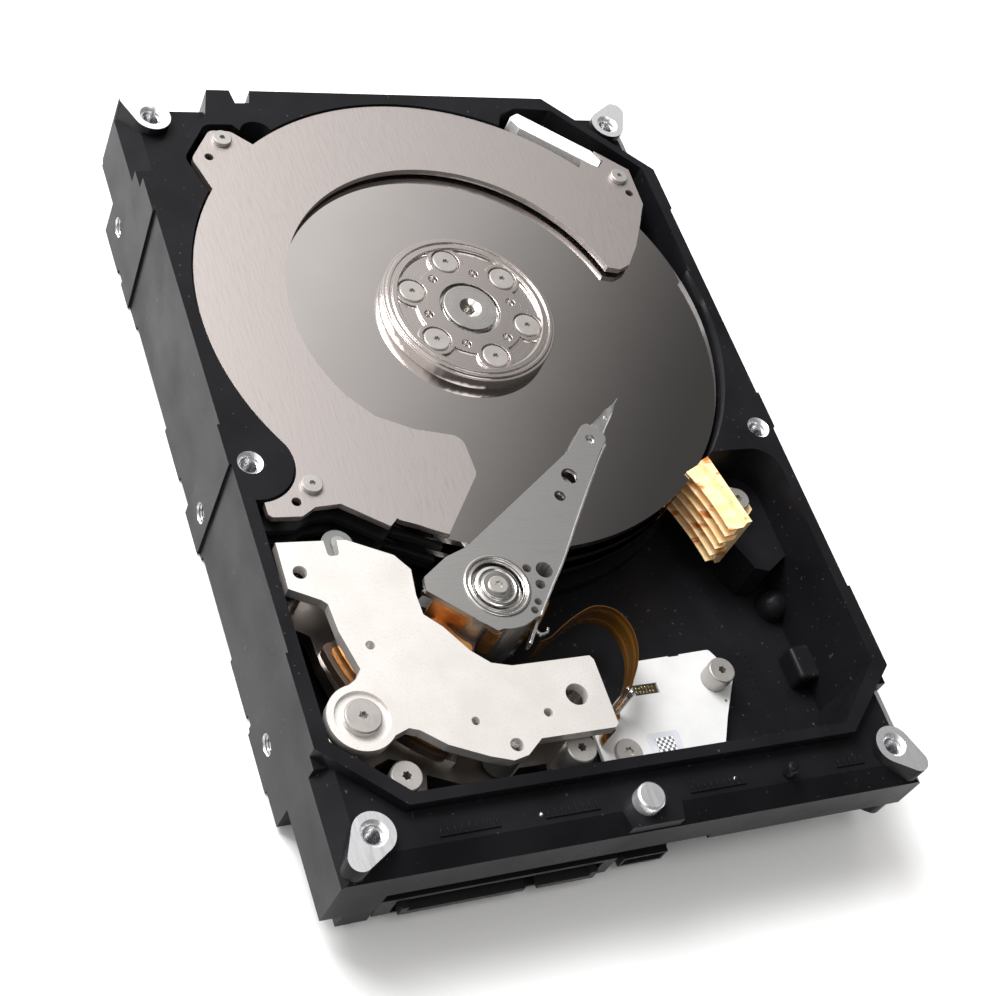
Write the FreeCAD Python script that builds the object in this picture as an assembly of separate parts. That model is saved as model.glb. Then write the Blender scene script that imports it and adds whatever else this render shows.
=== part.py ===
import FreeCAD, Part
import math
import os
from FreeCAD import Vector

# A 3.5-inch hard disk drive with its top cover off: three platters, a swing-arm actuator and a load ramp.
# Millimetres, +X to the right, +Y towards the spindle end, +Z up; the origin is bottom centre of the outline.
# The drive bay standard sets the outline and the mounting holes. Every other size is drawn from those.

# ---- driving dimensions -------------------------------------------------------------------------------
HALF_WIDTH = 50.8          # 101.6 wide
HALF_LENGTH = 73.5         # 147.0 long
RIM_TOP = 23.2             # gasket face that the cover seals on
SHELF_TOP = 20.8           # lower ledge outside the rim
POST_TOP = 22.6            # cover-screw posts at the corners
FAR_SHELF_Y = 70.4         # end of the corner ledges at the spindle end
NEAR_BACK_Y = -69.4        # wall behind the connector, under the near ledge
NEAR_SLOPE_Y = -70.4       # where the near ledge starts to slope down to the face
NEAR_SLOPE_Z = 18.7

SPINDLE_X, SPINDLE_Y = 0.0, 22.77
PIVOT_X, PIVOT_Y = -13.6, -31.5
WELL_RADIUS = 48.3
WELL_FLOOR = 7.7
BAY_FLOOR = 5.0            # floor of the actuator bay
BAY_X = 48.3               # half width of the actuator bay
BAY_NEAR_Y = -63.1
BAY_FAR_Y = -9.9

PLATTER_RADIUS = 47.5
PLATTER_BORE = 12.5
PLATTER_THICK = 1.27
PLATTER_PITCH = 3.9
TOP_PLATTER = 21.1         # upper surface of the top platter
PLATTER_TOPS = [TOP_PLATTER - PLATTER_PITCH * k for k in range(3)]

ARM_TOP = 22.9
ARM_THICK = 1.0
ARM_TOPS = [ARM_TOP, 19.0, 15.1, 11.23]
PARK_ANGLE = -28.5         # heads on the ramp
INNER_ANGLE = 13.5         # heads at the innermost track
TAB_RADIUS = 50.2          # pivot to the tip of the lift tab

COIL_DIRECTION = 213.0     # heading of the coil's centre line at rest, from the pivot
COIL_LOW, COIL_HIGH = 15.2, 17.9
YOKE_TOP = 22.4
YOKE_UPPER_LOW = 20.4
YOKE_LOWER_TOP = 12.6
YOKE_LOWER_LOW = 9.6
MAGNET_THICK = 1.8

DAMPER_TOP = 22.93
DAMPER_THICK = 1.2
DAMPER_RADIUS = 47.93
DAMPER_INNER = 32.4

SIDE_HOLE_Z = 6.35
SIDE_HOLE_YS = (-45.0, -3.4, 56.6)
BOTTOM_HOLE_X = 47.625
BOTTOM_HOLE_YS = (-32.22, 12.23, 43.98)
MOUNT_HOLE_R = 1.75        # 6-32 UNC, major radius
MOUNT_HOLE_DEPTH = 4.5
OTHER_FLANK_EXTRA = 0.002  # the right flank is drilled on its own, a hair larger

BOARD_LOW, BOARD_HIGH = 0.9, 1.9
BOARD_HALF = 44.0
PIT_TOP = 2.6              # roof of the recess that the circuit board fills
CONNECTOR_X = -20.68
JUMPER_X = 5.4

os.makedirs("parts", exist_ok=True)


# ---- helpers ------------------------------------------------------------------------------------------
def box(x0, y0, z0, x1, y1, z1):
    return Part.makeBox(x1 - x0, y1 - y0, z1 - z0, Vector(x0, y0, z0))


def cylinder(x, y, z0, z1, radius):
    return Part.makeCylinder(radius, z1 - z0, Vector(x, y, z0))


def ring(x, y, z0, z1, outer, inner):
    return cylinder(x, y, z0, z1, outer).cut(cylinder(x, y, z0 - 1, z1 + 1, inner))


def prism(points, z0, z1):
    wire = Part.makePolygon([Vector(x, y, z0) for x, y in points] + [Vector(points[0][0], points[0][1], z0)])
    return Part.Face(wire).extrude(Vector(0, 0, z1 - z0))


def side_prism(points, x0, x1):
    """A profile in Y and Z, run along X."""
    wire = Part.makePolygon([Vector(x0, y, z) for y, z in points] + [Vector(x0, points[0][0], points[0][1])])
    return Part.Face(wire).extrude(Vector(x1 - x0, 0, 0))


def rounded_prism(points, z0, z1, radius, corners=None):
    """A prism whose upright edges are rounded; corners lists the point numbers to round."""
    solid = prism(points, z0, z1)
    wanted = points if corners is None else [points[k] for k in corners]
    edges = []
    for edge in solid.Edges:
        a, b = edge.Vertexes[0].Point, edge.Vertexes[-1].Point
        upright = abs(a.x - b.x) < 1e-6 and abs(a.y - b.y) < 1e-6
        if upright and any(math.hypot(a.x - x, a.y - y) < 1e-6 for x, y in wanted):
            edges.append(edge)
    return solid.makeFillet(radius, edges)


def polar(radius, degrees, cx=PIVOT_X, cy=PIVOT_Y):
    angle = math.radians(degrees)
    return cx + radius * math.cos(angle), cy + radius * math.sin(angle)


def arc_points(radius, start, end, steps, cx, cy):
    return [polar(radius, start + (end - start) * k / steps, cx, cy) for k in range(steps + 1)]


def fused(shapes):
    solid = shapes[0]
    for other in shapes[1:]:
        solid = solid.fuse(other)
    return solid.removeSplitter()


def cut_all(solid, tools):
    for tool in tools:
        solid = solid.cut(tool)
    return solid


def teardrop(x, y, z0, z1, radius, tip_x, tip_y, tip_radius):
    """The outline of two circles and the straight sides that join them."""
    length = math.hypot(tip_x - x, tip_y - y)
    heading = math.atan2(tip_y - y, tip_x - x)
    lean = math.acos((radius - tip_radius) / length)
    corners = []
    for cx, cy, r, sign in ((x, y, radius, 1), (tip_x, tip_y, tip_radius, 1),
                            (tip_x, tip_y, tip_radius, -1), (x, y, radius, -1)):
        corners.append((cx + r * math.cos(heading + sign * lean), cy + r * math.sin(heading + sign * lean)))
    sides = prism(corners, z0, z1)
    return fused([sides, cylinder(x, y, z0, z1, radius), cylinder(tip_x, tip_y, z0, z1, tip_radius)])


def save(name, shape):
    solids = shape.Solids
    if not solids or not shape.isValid():
        raise ValueError(name + " is not a valid solid")
    result = solids[0] if len(solids) == 1 else Part.makeCompound(solids)
    result.exportStep("parts/" + name + ".step")
    print(name, len(solids), round(result.Volume, 1))


def six_lobe(x, y, z0, z1, radius):
    """The star-shaped drive socket of a screw."""
    points = []
    for k in range(12):
        reach = radius if k % 2 == 0 else radius * 0.72
        points.append(polar(reach, 30 * k, x, y))
    return prism(points, z0, z1)


def screw(x, y, z_under, head_radius, head_height, shank_radius, shank_length, socket=0.7):
    """A pan-head screw with a six-lobe socket, its shank pointing down."""
    top = z_under + head_height
    head = cylinder(x, y, z_under, top, head_radius)
    head = head.makeChamfer(head_radius * 0.08, [e for e in head.Edges if e.BoundBox.ZMin > top - 0.01])
    shank = cylinder(x, y, z_under - shank_length, z_under, shank_radius)
    drive = six_lobe(x, y, z_under + head_height * 0.3, top + 1, socket)
    return head.fuse(shank).cut(drive).removeSplitter()


# ---- base casting -------------------------------------------------------------------------------------
POSTS = [(-45.6, 67.7), (45.6, 67.7), (-45.6, -67.9), (45.6, -67.9)]
COVER_HOLES = [(-47.3, -5.6), (47.3, -5.6)]
DAMPER_SCREWS = [(-34.7, 61.7), (42.1, 53.4), (-38.6, -10.5)]
YOKE_SCREWS = [(-41.9, -50.2, 20.8), (-36.4, -58.7, 16.4), (-7.5, -58.8, 17.0)]
BRACKET_SCREWS = [(28.8, -45.1), (7.6, -55.8)]
BOARD_SCREWS = [(-40.5, -20.0), (40.5, -20.0), (-6.0, -8.0), (6.0, -60.0), (40.5, -52.0), (-38.5, -57.0)]
PEDESTAL_TOP = 14.0
RAMP_SCREW = (41.4, -16.2)
RAMP_FOOT = 10.0
RAMP_LIP = 47.6            # pivot to the tabs' inner edge
RAMP_BACK = 50.6           # pivot to the wall behind the lift tabs
FACET_WIDTH = 3.0
FACET_LOW_Z = 18.2
POST_HOLE = 1.5
POST_SINK = 2.1            # countersink at the mouth of each cover-screw hole
CORNER_FOOT = 7.0          # the corners stand this far above the underside
STOP_RADIUS = 2.6
STOP_GAP = 0.35


def rim_outline():
    w = HALF_WIDTH
    far = HALF_LENGTH
    return [(-w, -54.3), (-39.4, -64.9), (38.9, -64.9), (w, -54.3), (w, 55.4), (32.7, far), (-26.6, far),
            (-27.4, 70.5), (-30.0, 70.4), (-30.4, far), (-34.6, far), (-36.3, 67.4), (-w, 52.7)]


def cavity_tools():
    """Everything that is hollowed out from above."""
    top = RIM_TOP + 1
    well = cylinder(SPINDLE_X, SPINDLE_Y, WELL_FLOOR, top, WELL_RADIUS)
    bay = rounded_prism([(-BAY_X, -53.6), (-38.1, BAY_NEAR_Y), (37.9, BAY_NEAR_Y), (BAY_X, -53.0),
                         (BAY_X, BAY_FAR_Y), (30.0, BAY_FAR_Y), (20.0, 0.0), (-30.0, 0.0), (-40.0, -13.0),
                         (-BAY_X, -13.4)], BAY_FLOOR, top, 5.0, [4])
    bay = cut_all(bay, [cylinder(SPINDLE_X, SPINDLE_Y, BAY_FLOOR - 1, WELL_FLOOR, WELL_RADIUS)])
    lug = cylinder(COVER_HOLES[0][0], COVER_HOLES[0][1], BAY_FLOOR - 1, top + 1, 6.9)
    left_ear = rounded_prism([(-36.0, 3.0), (-BAY_X, -8.0), (-BAY_X, -17.0), (-30.0, -17.0)],
                             WELL_FLOOR, top, 1.5, [2]).cut(lug)
    far_left_ear = rounded_prism([(-39.8, 49.0), (-42.4, 57.4), (-37.0, 65.2), (-32.0, 65.2), (-24.0, 56.0)],
                                 9.0, top, 2.2, [1, 2])
    dark_pocket = cylinder(-27.9, 62.9, 9.0, top, 3.1)
    filter_pocket = rounded_prism([(20.0, 64.0), (22.3, 69.2), (26.0, 70.8), (33.6, 70.4), (48.3, 55.6),
                                   (48.3, 30.0), (30.0, 40.0)], 9.0, top, 1.2, [1, 2, 3, 4])
    motor_seat = cylinder(SPINDLE_X, SPINDLE_Y, 3.0, top, 15.3)
    return [well, bay.cut(lug), left_ear, far_left_ear, dark_pocket, filter_pocket, motor_seat]


def underside_tools():
    """The board recess, the connector opening and the lightening pockets cut from below."""
    pit = prism([(-BOARD_HALF - 0.4, -75.0), (BOARD_HALF + 0.4, -75.0), (BOARD_HALF + 0.4, -12.0), (30.0, -2.0),
                 (-30.0, -2.0), (-BOARD_HALF - 0.4, -12.0)], -1, PIT_TOP)
    pockets = []
    for sx in (-1, 1):
        pockets.append(prism([(sx * 43.0, 1.0), (sx * 43.0, 49.0), (sx * 30.0, 62.0), (sx * 4.0, 62.0),
                              (sx * 4.0, 42.0), (sx * 19.0, 34.0), (sx * 19.0, 10.0)], -1, 3.6))
    under = box(-HALF_WIDTH - 1, -80, -1, HALF_WIDTH + 1, 80, 1.0)
    pads = [box(-HALF_WIDTH - 1, y - 5, -2, HALF_WIDTH + 1, y + 5, 2) for y in SIDE_HOLE_YS + BOTTOM_HOLE_YS]
    motor_foot = cylinder(SPINDLE_X, SPINDLE_Y, -2, 2, 15.5)
    far_corners = box(-60, 61.5, -1, 60, 80, CORNER_FOOT)
    near_left = box(-60, -80, -1, -47.0, -56.0, CORNER_FOOT)
    near_right = box(13.0, -80, -1, 60, -56.0, CORNER_FOOT - 2.0)
    near_foot = box(42.0, -80, -1, 60, -56.0, CORNER_FOOT)
    plug_seat = box(CONNECTOR_X - 20.6, -80, -1, JUMPER_X + 4.4, -64.5, 7.5)
    lead_slot = box(-6.0, -3.2, -1, 6.0, 7.2, PIT_TOP)
    return ([pit] + pockets + [cut_all(under, pads + [motor_foot]), far_corners, near_left, near_right,
                               near_foot, plug_seat, lead_slot])


def side_recess(sign, y0, y1, slant):
    """A shallow panel between two mounting pads, its ends leaning along the side."""
    depth = 0.45
    panel = side_prism([(y0, -1.0), (y1, -1.0), (y1 + slant, RIM_TOP + 1), (y0 + slant * 0.5, RIM_TOP + 1)],
                       0, depth)
    panel.translate(Vector(HALF_WIDTH - depth if sign > 0 else -HALF_WIDTH, 0, 0))
    return panel


def corner_facet(sx, sy):
    """The sloped flat that breaks the edge of a corner ledge."""
    w = HALF_WIDTH
    profile = [(w + 1, FACET_LOW_Z), (w + 1, SHELF_TOP + 1), (w - FACET_WIDTH, SHELF_TOP + 1),
               (w - FACET_WIDTH, SHELF_TOP), (w, FACET_LOW_Z)]
    wire = Part.makePolygon([Vector(sx * x, 0, z) for x, z in profile + [profile[0]]])
    start = sy * 56.4
    solid = Part.Face(wire).extrude(Vector(0, sy * 80 - start, 0))
    solid.translate(Vector(0, start, 0))
    return solid


def near_wall(x0, x1, z_low):
    """The near end between x0 and x1: the ledge, its slope and the upright face down to z_low."""
    return side_prism([(NEAR_BACK_Y + 2, SHELF_TOP), (NEAR_SLOPE_Y, SHELF_TOP), (-HALF_LENGTH, NEAR_SLOPE_Z),
                       (-HALF_LENGTH, z_low), (NEAR_BACK_Y + 2, z_low)], x0, x1)


def base_casting():
    w = HALF_WIDTH
    body = box(-w, NEAR_BACK_Y, 0, w, FAR_SHELF_Y, SHELF_TOP)
    walls = [near_wall(-w, -42.0, CORNER_FOOT), near_wall(-42.0, 13.0, 12.2), near_wall(13.0, w, 11.1)]
    walls.append(box(-47.0, -HALF_LENGTH + 0.3, 2.5, -42.0, NEAR_BACK_Y + 2, 12.0))
    boss_lug = prism([(-5.6, NEAR_SLOPE_Y), (-4.9, -73.3), (4.2, -73.3), (4.9, NEAR_SLOPE_Y)], 14.0, SHELF_TOP)
    rim = prism(rim_outline(), SHELF_TOP - 1, RIM_TOP)
    far_block = prism([(-36.3, FAR_SHELF_Y - 4), (-34.6, HALF_LENGTH), (-30.4, HALF_LENGTH), (-30.0, 70.4),
                       (-27.4, 70.5), (-26.6, HALF_LENGTH), (32.7, HALF_LENGTH), (38.9, FAR_SHELF_Y - 4)],
                      CORNER_FOOT, SHELF_TOP)
    body = fused([body] + walls + [boss_lug, far_block])
    for sx in (-1, 1):
        for sy in (-1, 1):
            body = body.cut(corner_facet(sx, sy))
    body = fused([body, rim])
    posts = []
    for x, y in POSTS:
        tip_x = math.copysign(48.6, x)
        tip_y = math.copysign(71.3, y)
        posts.append(teardrop(x, y, CORNER_FOOT, POST_TOP, 3.3, tip_x, tip_y, 1.9))
    body = fused([body] + posts)
    body = cut_all(body, cavity_tools() + underside_tools())
    for sign in (-1, 1):
        body = body.cut(side_recess(sign, 0.9, 43.6, 2.0))
        body = body.cut(side_recess(sign, -39.6, -7.2, 1.6))
    bosses = []
    for sx in (-1, 1):
        x, y = sx * (BOTTOM_HOLE_X - 0.3), BOTTOM_HOLE_YS[0]
        bosses.append(cylinder(x, y, 2.0, 6.2, 2.9))
        bosses.append(Part.makeSphere(2.9, Vector(x, y, 6.2)).cut(box(-60, -60, -10, 60, 60, 5.0)))
        block = box(44.5, SIDE_HOLE_YS[0] - 3.3, 4.0, 50.0, SIDE_HOLE_YS[0] + 3.3, 9.3)
        block = block.makeFillet(0.9, [e for e in block.Edges if e.BoundBox.XMin < 44.6 or e.BoundBox.ZMin > 9.2])
        if sx < 0:
            block = block.mirror(Vector(0, 0, 0), Vector(1, 0, 0))
        bosses.append(block)
    bosses += [cylinder(x, y, BOARD_HIGH, BAY_FLOOR - 0.5, 2.2) for x, y in BOARD_SCREWS]
    bosses.append(ring(SPINDLE_X, SPINDLE_Y, 2.5, 9.2, 7.2, 6.0))
    bosses.append(cylinder(PIVOT_X, PIVOT_Y, 3.0, 7.2, 4.0))
    bosses += [cylinder(x, y, 3.0, YOKE_LOWER_LOW, 2.6) for x, y, _ in YOKE_SCREWS]
    bosses += [cylinder(x, y, 3.0, 6.2, 2.2) for x, y in BRACKET_SCREWS]
    bosses.append(cylinder(DAMPER_SCREWS[0][0], DAMPER_SCREWS[0][1], 8.0, 13.2, 2.6))
    bosses.append(cylinder(DAMPER_SCREWS[1][0], DAMPER_SCREWS[1][1], 8.0, 13.2, 2.6))
    bosses.append(cylinder(DAMPER_SCREWS[2][0], DAMPER_SCREWS[2][1], 4.0, 13.2, 2.4))
    pedestal = prism([(36.6, -12.8), (37.4, -19.6), (41.2, -28.6), (43.8, -29.4), (47.2, -27.4), (48.6, -26.6),
                      (48.6, -9.0), (40.0, -9.0)], BAY_FLOOR - 1, PEDESTAL_TOP)
    bosses.append(pedestal)
    datum = cylinder(-1.2, -69.6, SHELF_TOP - 1, RIM_TOP, 2.3)
    bosses.append(datum.makeChamfer(0.3, [e for e in datum.Edges if e.BoundBox.ZMin > RIM_TOP - 0.01]))
    peg = cylinder(25.0, -68.9, SHELF_TOP - 1, RIM_TOP + 0.1, 1.0)
    bosses.append(peg.makeFillet(0.6, [e for e in peg.Edges if e.BoundBox.ZMin > RIM_TOP]))
    body = fused([body] + bosses)
    drills = []
    for x, y, top in [(x, y, POST_TOP) for x, y in POSTS] + [(x, y, RIM_TOP) for x, y in COVER_HOLES]:
        drills.append(cylinder(x, y, 12.0, top + 1, POST_HOLE))
        sink = POST_SINK - POST_HOLE
        drills.append(Part.makeCone(POST_HOLE, POST_SINK, sink, Vector(x, y, top - sink)))
    for sx in (-1, 1):
        side_radius = MOUNT_HOLE_R if sx < 0 else MOUNT_HOLE_R + OTHER_FLANK_EXTRA
        for y in SIDE_HOLE_YS:
            drills.append(Part.makeCylinder(side_radius, MOUNT_HOLE_DEPTH + 1,
                                            Vector(sx * (HALF_WIDTH - MOUNT_HOLE_DEPTH), y, SIDE_HOLE_Z),
                                            Vector(sx, 0, 0)))
        for y in BOTTOM_HOLE_YS:
            drills.append(cylinder(sx * BOTTOM_HOLE_X, y, -1, MOUNT_HOLE_DEPTH, MOUNT_HOLE_R))
    drills += [cylinder(x, y, 1.0, 4.2, 1.0) for x, y in BOARD_SCREWS]
    drills.append(cylinder(SPINDLE_X, SPINDLE_Y, -1, 9.0, 2.5))
    drills.append(cylinder(PIVOT_X, PIVOT_Y, 2.0, 8.0, 1.5))
    drills += [cylinder(x, y, 6.0, 10.0, 0.9) for x, y, _ in YOKE_SCREWS]
    drills += [cylinder(x, y, 4.4, 8.0, 0.9) for x, y in BRACKET_SCREWS]
    drills += [cylinder(x, y, 10.0, 14.0, 0.9) for x, y in DAMPER_SCREWS]
    drills.append(cylinder(RAMP_SCREW[0], RAMP_SCREW[1], 11.0, PEDESTAL_TOP + 1, 0.9))
    return cut_all(body, drills)


# ---- spindle ----------------------------------------------------------------------------------------------
HUB_TOP = 22.3
CLAMP_TOP = 23.78
CLAMP_FACE = 23.5
CAP_TOP = 23.7
CLAMP_SCREW_RADIUS = 10.5
CLAMP_HOLE_RADIUS = 8.2


def spindle_shaft():
    shaft = cylinder(SPINDLE_X, SPINDLE_Y, 1.2, 22.8, 2.45)
    cap = cylinder(SPINDLE_X, SPINDLE_Y, 22.8, CAP_TOP, 4.9)
    cap = cap.makeChamfer(0.15, [e for e in cap.Edges if e.BoundBox.ZMin > CAP_TOP - 0.01])
    hole = cylinder(SPINDLE_X, SPINDLE_Y, 17.0, CAP_TOP + 1, 0.95)
    sink = Part.makeCone(0.95, 2.0, 0.6, Vector(SPINDLE_X, SPINDLE_Y, CAP_TOP - 0.6))
    return shaft.fuse(cap).cut(hole).cut(sink).removeSplitter()


def spindle_hub():
    sleeve = cylinder(SPINDLE_X, SPINDLE_Y, 4.2, HUB_TOP, 5.6)
    web = cylinder(SPINDLE_X, SPINDLE_Y, 10.6, HUB_TOP, PLATTER_BORE - 0.02)
    skirt = ring(SPINDLE_X, SPINDLE_Y, 4.2, 12.03, 14.8, 12.2)
    seat = cylinder(SPINDLE_X, SPINDLE_Y, 10.6, 12.03, 14.8)
    body = fused([sleeve, web, skirt, seat])
    return body.cut(cylinder(SPINDLE_X, SPINDLE_Y, 3, 24, 2.52))


def disk_clamp():
    """A dished ring with a stepped rim, a pocket for each screw and a shallow pad between them."""
    rim = ring(SPINDLE_X, SPINDLE_Y, TOP_PLATTER, CLAMP_TOP, 15.7, 13.2)
    lid = ring(SPINDLE_X, SPINDLE_Y, HUB_TOP, CLAMP_FACE, 13.5, 5.5)
    body = fused([rim, lid])
    outer_step = ring(SPINDLE_X, SPINDLE_Y, CLAMP_TOP - 0.35, CLAMP_TOP + 1, 16.0, 15.1)
    groove = ring(SPINDLE_X, SPINDLE_Y, CLAMP_TOP - 0.3, CLAMP_TOP + 1, 14.5, 14.1)
    tools = [outer_step, groove]
    near_screws = []
    for k in range(6):
        x, y = polar(CLAMP_SCREW_RADIUS, 37 + 60 * k, SPINDLE_X, SPINDLE_Y)
        tools.append(cylinder(x, y, HUB_TOP + 0.5, CLAMP_TOP + 1, 2.6))
        tools.append(cylinder(x, y, HUB_TOP - 1, CLAMP_TOP, 0.85))
        near_screws.append(cylinder(x, y, HUB_TOP, CLAMP_TOP + 2, 3.3))
        x, y = polar(CLAMP_HOLE_RADIUS, 7 + 60 * k, SPINDLE_X, SPINDLE_Y)
        tools.append(cylinder(x, y, HUB_TOP - 1, CLAMP_TOP, 0.8))
    pads = cut_all(ring(SPINDLE_X, SPINDLE_Y, CLAMP_FACE - 0.45, CLAMP_TOP + 1, 13.0, 9.9), near_screws)
    return cut_all(body, tools).cut(pads)


def clamp_screws():
    heads = []
    for k in range(6):
        x, y = polar(CLAMP_SCREW_RADIUS, 37 + 60 * k, SPINDLE_X, SPINDLE_Y)
        heads.append(screw(x, y, HUB_TOP + 0.5, 2.35, 0.75, 0.8, 0.45, 0.62))
    return Part.makeCompound(heads)


def stator_core():
    yoke = ring(SPINDLE_X, SPINDLE_Y, 4.6, 8.6, 8.2, 7.2)
    teeth = []
    for k in range(9):
        tooth = box(7.8, -0.7, 4.6, 10.3, 0.7, 8.6)
        shoe = box(10.0, -2.0, 4.6, 10.7, 2.0, 8.6)
        tooth = tooth.fuse(shoe)
        tooth.rotate(Vector(0, 0, 0), Vector(0, 0, 1), 40 * k)
        tooth.translate(Vector(SPINDLE_X, SPINDLE_Y, 0))
        teeth.append(tooth)
    return fused([yoke] + teeth)


def stator_windings():
    coils = []
    for k in range(9):
        coil = box(8.35, -1.5, 4.2, 9.9, 1.5, 9.0).cut(box(8.0, -0.75, 4.55, 10.5, 0.75, 8.65))
        coil.rotate(Vector(0, 0, 0), Vector(0, 0, 1), 40 * k)
        coil.translate(Vector(SPINDLE_X, SPINDLE_Y, 0))
        coils.append(coil)
    return Part.makeCompound(coils)


# ---- dampers, filter and ramp ---------------------------------------------------------------------------
DAMPER_EARS = {
    "far_left": [(-39.0, 50.0), (-41.1, 57.4), (-36.4, 64.0), (-32.6, 63.8), (-26.0, 58.0)],
    "near_left": [(-36.0, 3.0), (-46.9, -6.0), (-46.9, -15.6), (-41.6, -15.9), (-39.0, -14.4), (-34.8, -14.2),
                  (-27.8, -19.0), (-20.0, -12.0)],
    "far_right": [(33.4, 54.0), (35.8, 57.8), (38.9, 56.1), (40.6, 57.8), (39.4, 60.2), (45.3, 55.5),
                  (45.0, 46.8), (42.2, 41.8), (38.0, 44.0)],
}


def damper_plate(z0, z1):
    """A C-shaped plate over the platters; its mouth leaves the actuator room to sweep."""
    plate = ring(SPINDLE_X, SPINDLE_Y, z0, z1, DAMPER_RADIUS, DAMPER_INNER)
    mouth = prism([(-24.0, -8.0), (0.0, 0.0), (20.0, 30.0), (31.3, 31.6), (33.7, 31.1), (36.1, 32.2),
                   (39.3, 36.5), (42.2, 41.6), (45.0, 46.8), (70.0, 46.8), (70.0, -60.0), (-14.0, -60.0),
                   (-18.4, -21.2)], z0 - 1, z1 + 1)
    plate = plate.cut(mouth)
    lobe = rounded_prism([(-28.2, 6.6), (-24.0, 1.8), (-18.0, -1.2), (-10.2, -3.2), (-10.0, -10.6),
                          (-18.4, -21.2), (-26.0, -18.0), (-34.0, -9.0)], z0, z1, 2.4, [2, 3, 4])
    lug = cylinder(COVER_HOLES[0][0], COVER_HOLES[0][1], z0 - 1, z1 + 1, 7.3)
    shapes = [plate, lobe]
    shapes.append(rounded_prism(DAMPER_EARS["far_left"], z0, z1, 1.8, [1, 2, 3]))
    shapes.append(rounded_prism(DAMPER_EARS["near_left"], z0, z1, 1.0, [2, 3]).cut(lug))
    shapes.append(prism(DAMPER_EARS["far_right"], z0, z1))
    return fused(shapes)


def damper_holes(z0, z1):
    tools = [cylinder(x, y, z0, z1, 0.95) for x, y in DAMPER_SCREWS]
    tools += [cylinder(x, y, z0, z1, 0.8) for x, y in ((-37.9, 57.8), (43.1, 49.6), (-41.8, -13.2))]
    return tools


def top_damper_plate():
    plate = damper_plate(DAMPER_TOP - DAMPER_THICK, DAMPER_TOP)
    return cut_all(plate, damper_holes(DAMPER_TOP - 3, DAMPER_TOP + 1))


def inner_damper_plate(level):
    middle = (PLATTER_TOPS[level] - PLATTER_THICK + PLATTER_TOPS[level + 1]) / 2
    plate = damper_plate(middle - 0.6, middle + 0.6)
    return cut_all(plate, damper_holes(middle - 3, middle + 3))


def damper_spacers():
    """Washers that keep the three damper plates apart at each screw."""
    middles = [(PLATTER_TOPS[k] - PLATTER_THICK + PLATTER_TOPS[k + 1]) / 2 for k in range(2)]
    gaps = [(13.2, middles[1] - 0.6), (middles[1] + 0.6, middles[0] - 0.6),
            (middles[0] + 0.6, DAMPER_TOP - DAMPER_THICK)]
    washers = []
    for x, y in DAMPER_SCREWS:
        for z0, z1 in gaps:
            washers.append(ring(x, y, z0, z1, 2.2, 0.95))
    return Part.makeCompound(washers)


def recirculation_filter():
    """A felt strip that stands in the stream behind the platters."""
    plan = [(25.6, 66.3), (24.2, 68.8), (26.5, 70.0), (39.1, 60.5), (40.3, 58.0), (38.9, 56.3), (36.4, 58.2)]
    body = rounded_prism(plan, 9.0, 22.6, 0.6, [0, 1, 2, 3, 4, 5])
    return body.cut(cylinder(SPINDLE_X, SPINDLE_Y, 8.0, DAMPER_TOP + 1, DAMPER_RADIUS + 0.1))


def load_ramp():
    """A comb beside the platters: a back that stands clear of the heads and a pair of tabs at each platter."""
    far_end, near_end = 23.4, 7.9
    sector = prism([(PIVOT_X, PIVOT_Y), polar(70, near_end), polar(70, far_end)], 0, 30)
    flank = prism([(34.6, -9.0), (34.6, -10.8), (37.6, -24.4), (38.4, -30.0), (20.0, -30.0), (20.0, -9.0)], 0, 30)
    back = ring(PIVOT_X, PIVOT_Y, RAMP_FOOT, ARM_TOP, 56.0, RAMP_BACK).common(sector)
    tabs = []
    for top in PLATTER_TOPS:
        low = top - PLATTER_THICK
        tabs.append(ring(PIVOT_X, PIVOT_Y, top + 0.15, top + 0.42, 51.0, RAMP_LIP))
        tabs.append(ring(PIVOT_X, PIVOT_Y, low - 0.42, low - 0.15, 51.0, RAMP_LIP))
    tabs = [tab.common(sector) for tab in tabs]
    webs = [ring(PIVOT_X, PIVOT_Y, top - PLATTER_THICK - 0.3, top + 0.3, 51.0, RAMP_BACK - 1.2).common(sector)
            for top in PLATTER_TOPS]
    comb = fused([back] + tabs + webs)
    for top in PLATTER_TOPS:
        slot_low = top - PLATTER_THICK - 0.15
        comb = comb.cut(cylinder(SPINDLE_X, SPINDLE_Y, slot_low, top + 0.15, PLATTER_RADIUS + 0.4))
    body = comb.common(flank)
    foot = prism([(36.4, -13.0), (39.4, -12.0), (44.0, -14.0), (44.2, -18.0), (41.8, -20.0), (36.8, -19.4)],
                 PEDESTAL_TOP, PEDESTAL_TOP + 2.0)
    arm = box(35.0, -19.0, PEDESTAL_TOP, 37.4, -13.2, PEDESTAL_TOP + 2.0).cut(
        cylinder(PIVOT_X, PIVOT_Y, 0, 30, RAMP_BACK))
    body = fused([body, foot, arm])
    body = body.cut(cylinder(SPINDLE_X, SPINDLE_Y, 0, 30, PLATTER_RADIUS + 0.35).common(
        box(-80, -80, PEDESTAL_TOP - 1, 80, 80, PEDESTAL_TOP + 3)).cut(ring(PIVOT_X, PIVOT_Y, 0, 30, 51.0, 1.0)))
    return body.cut(cylinder(RAMP_SCREW[0], RAMP_SCREW[1], 10, 20, 0.95))


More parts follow.
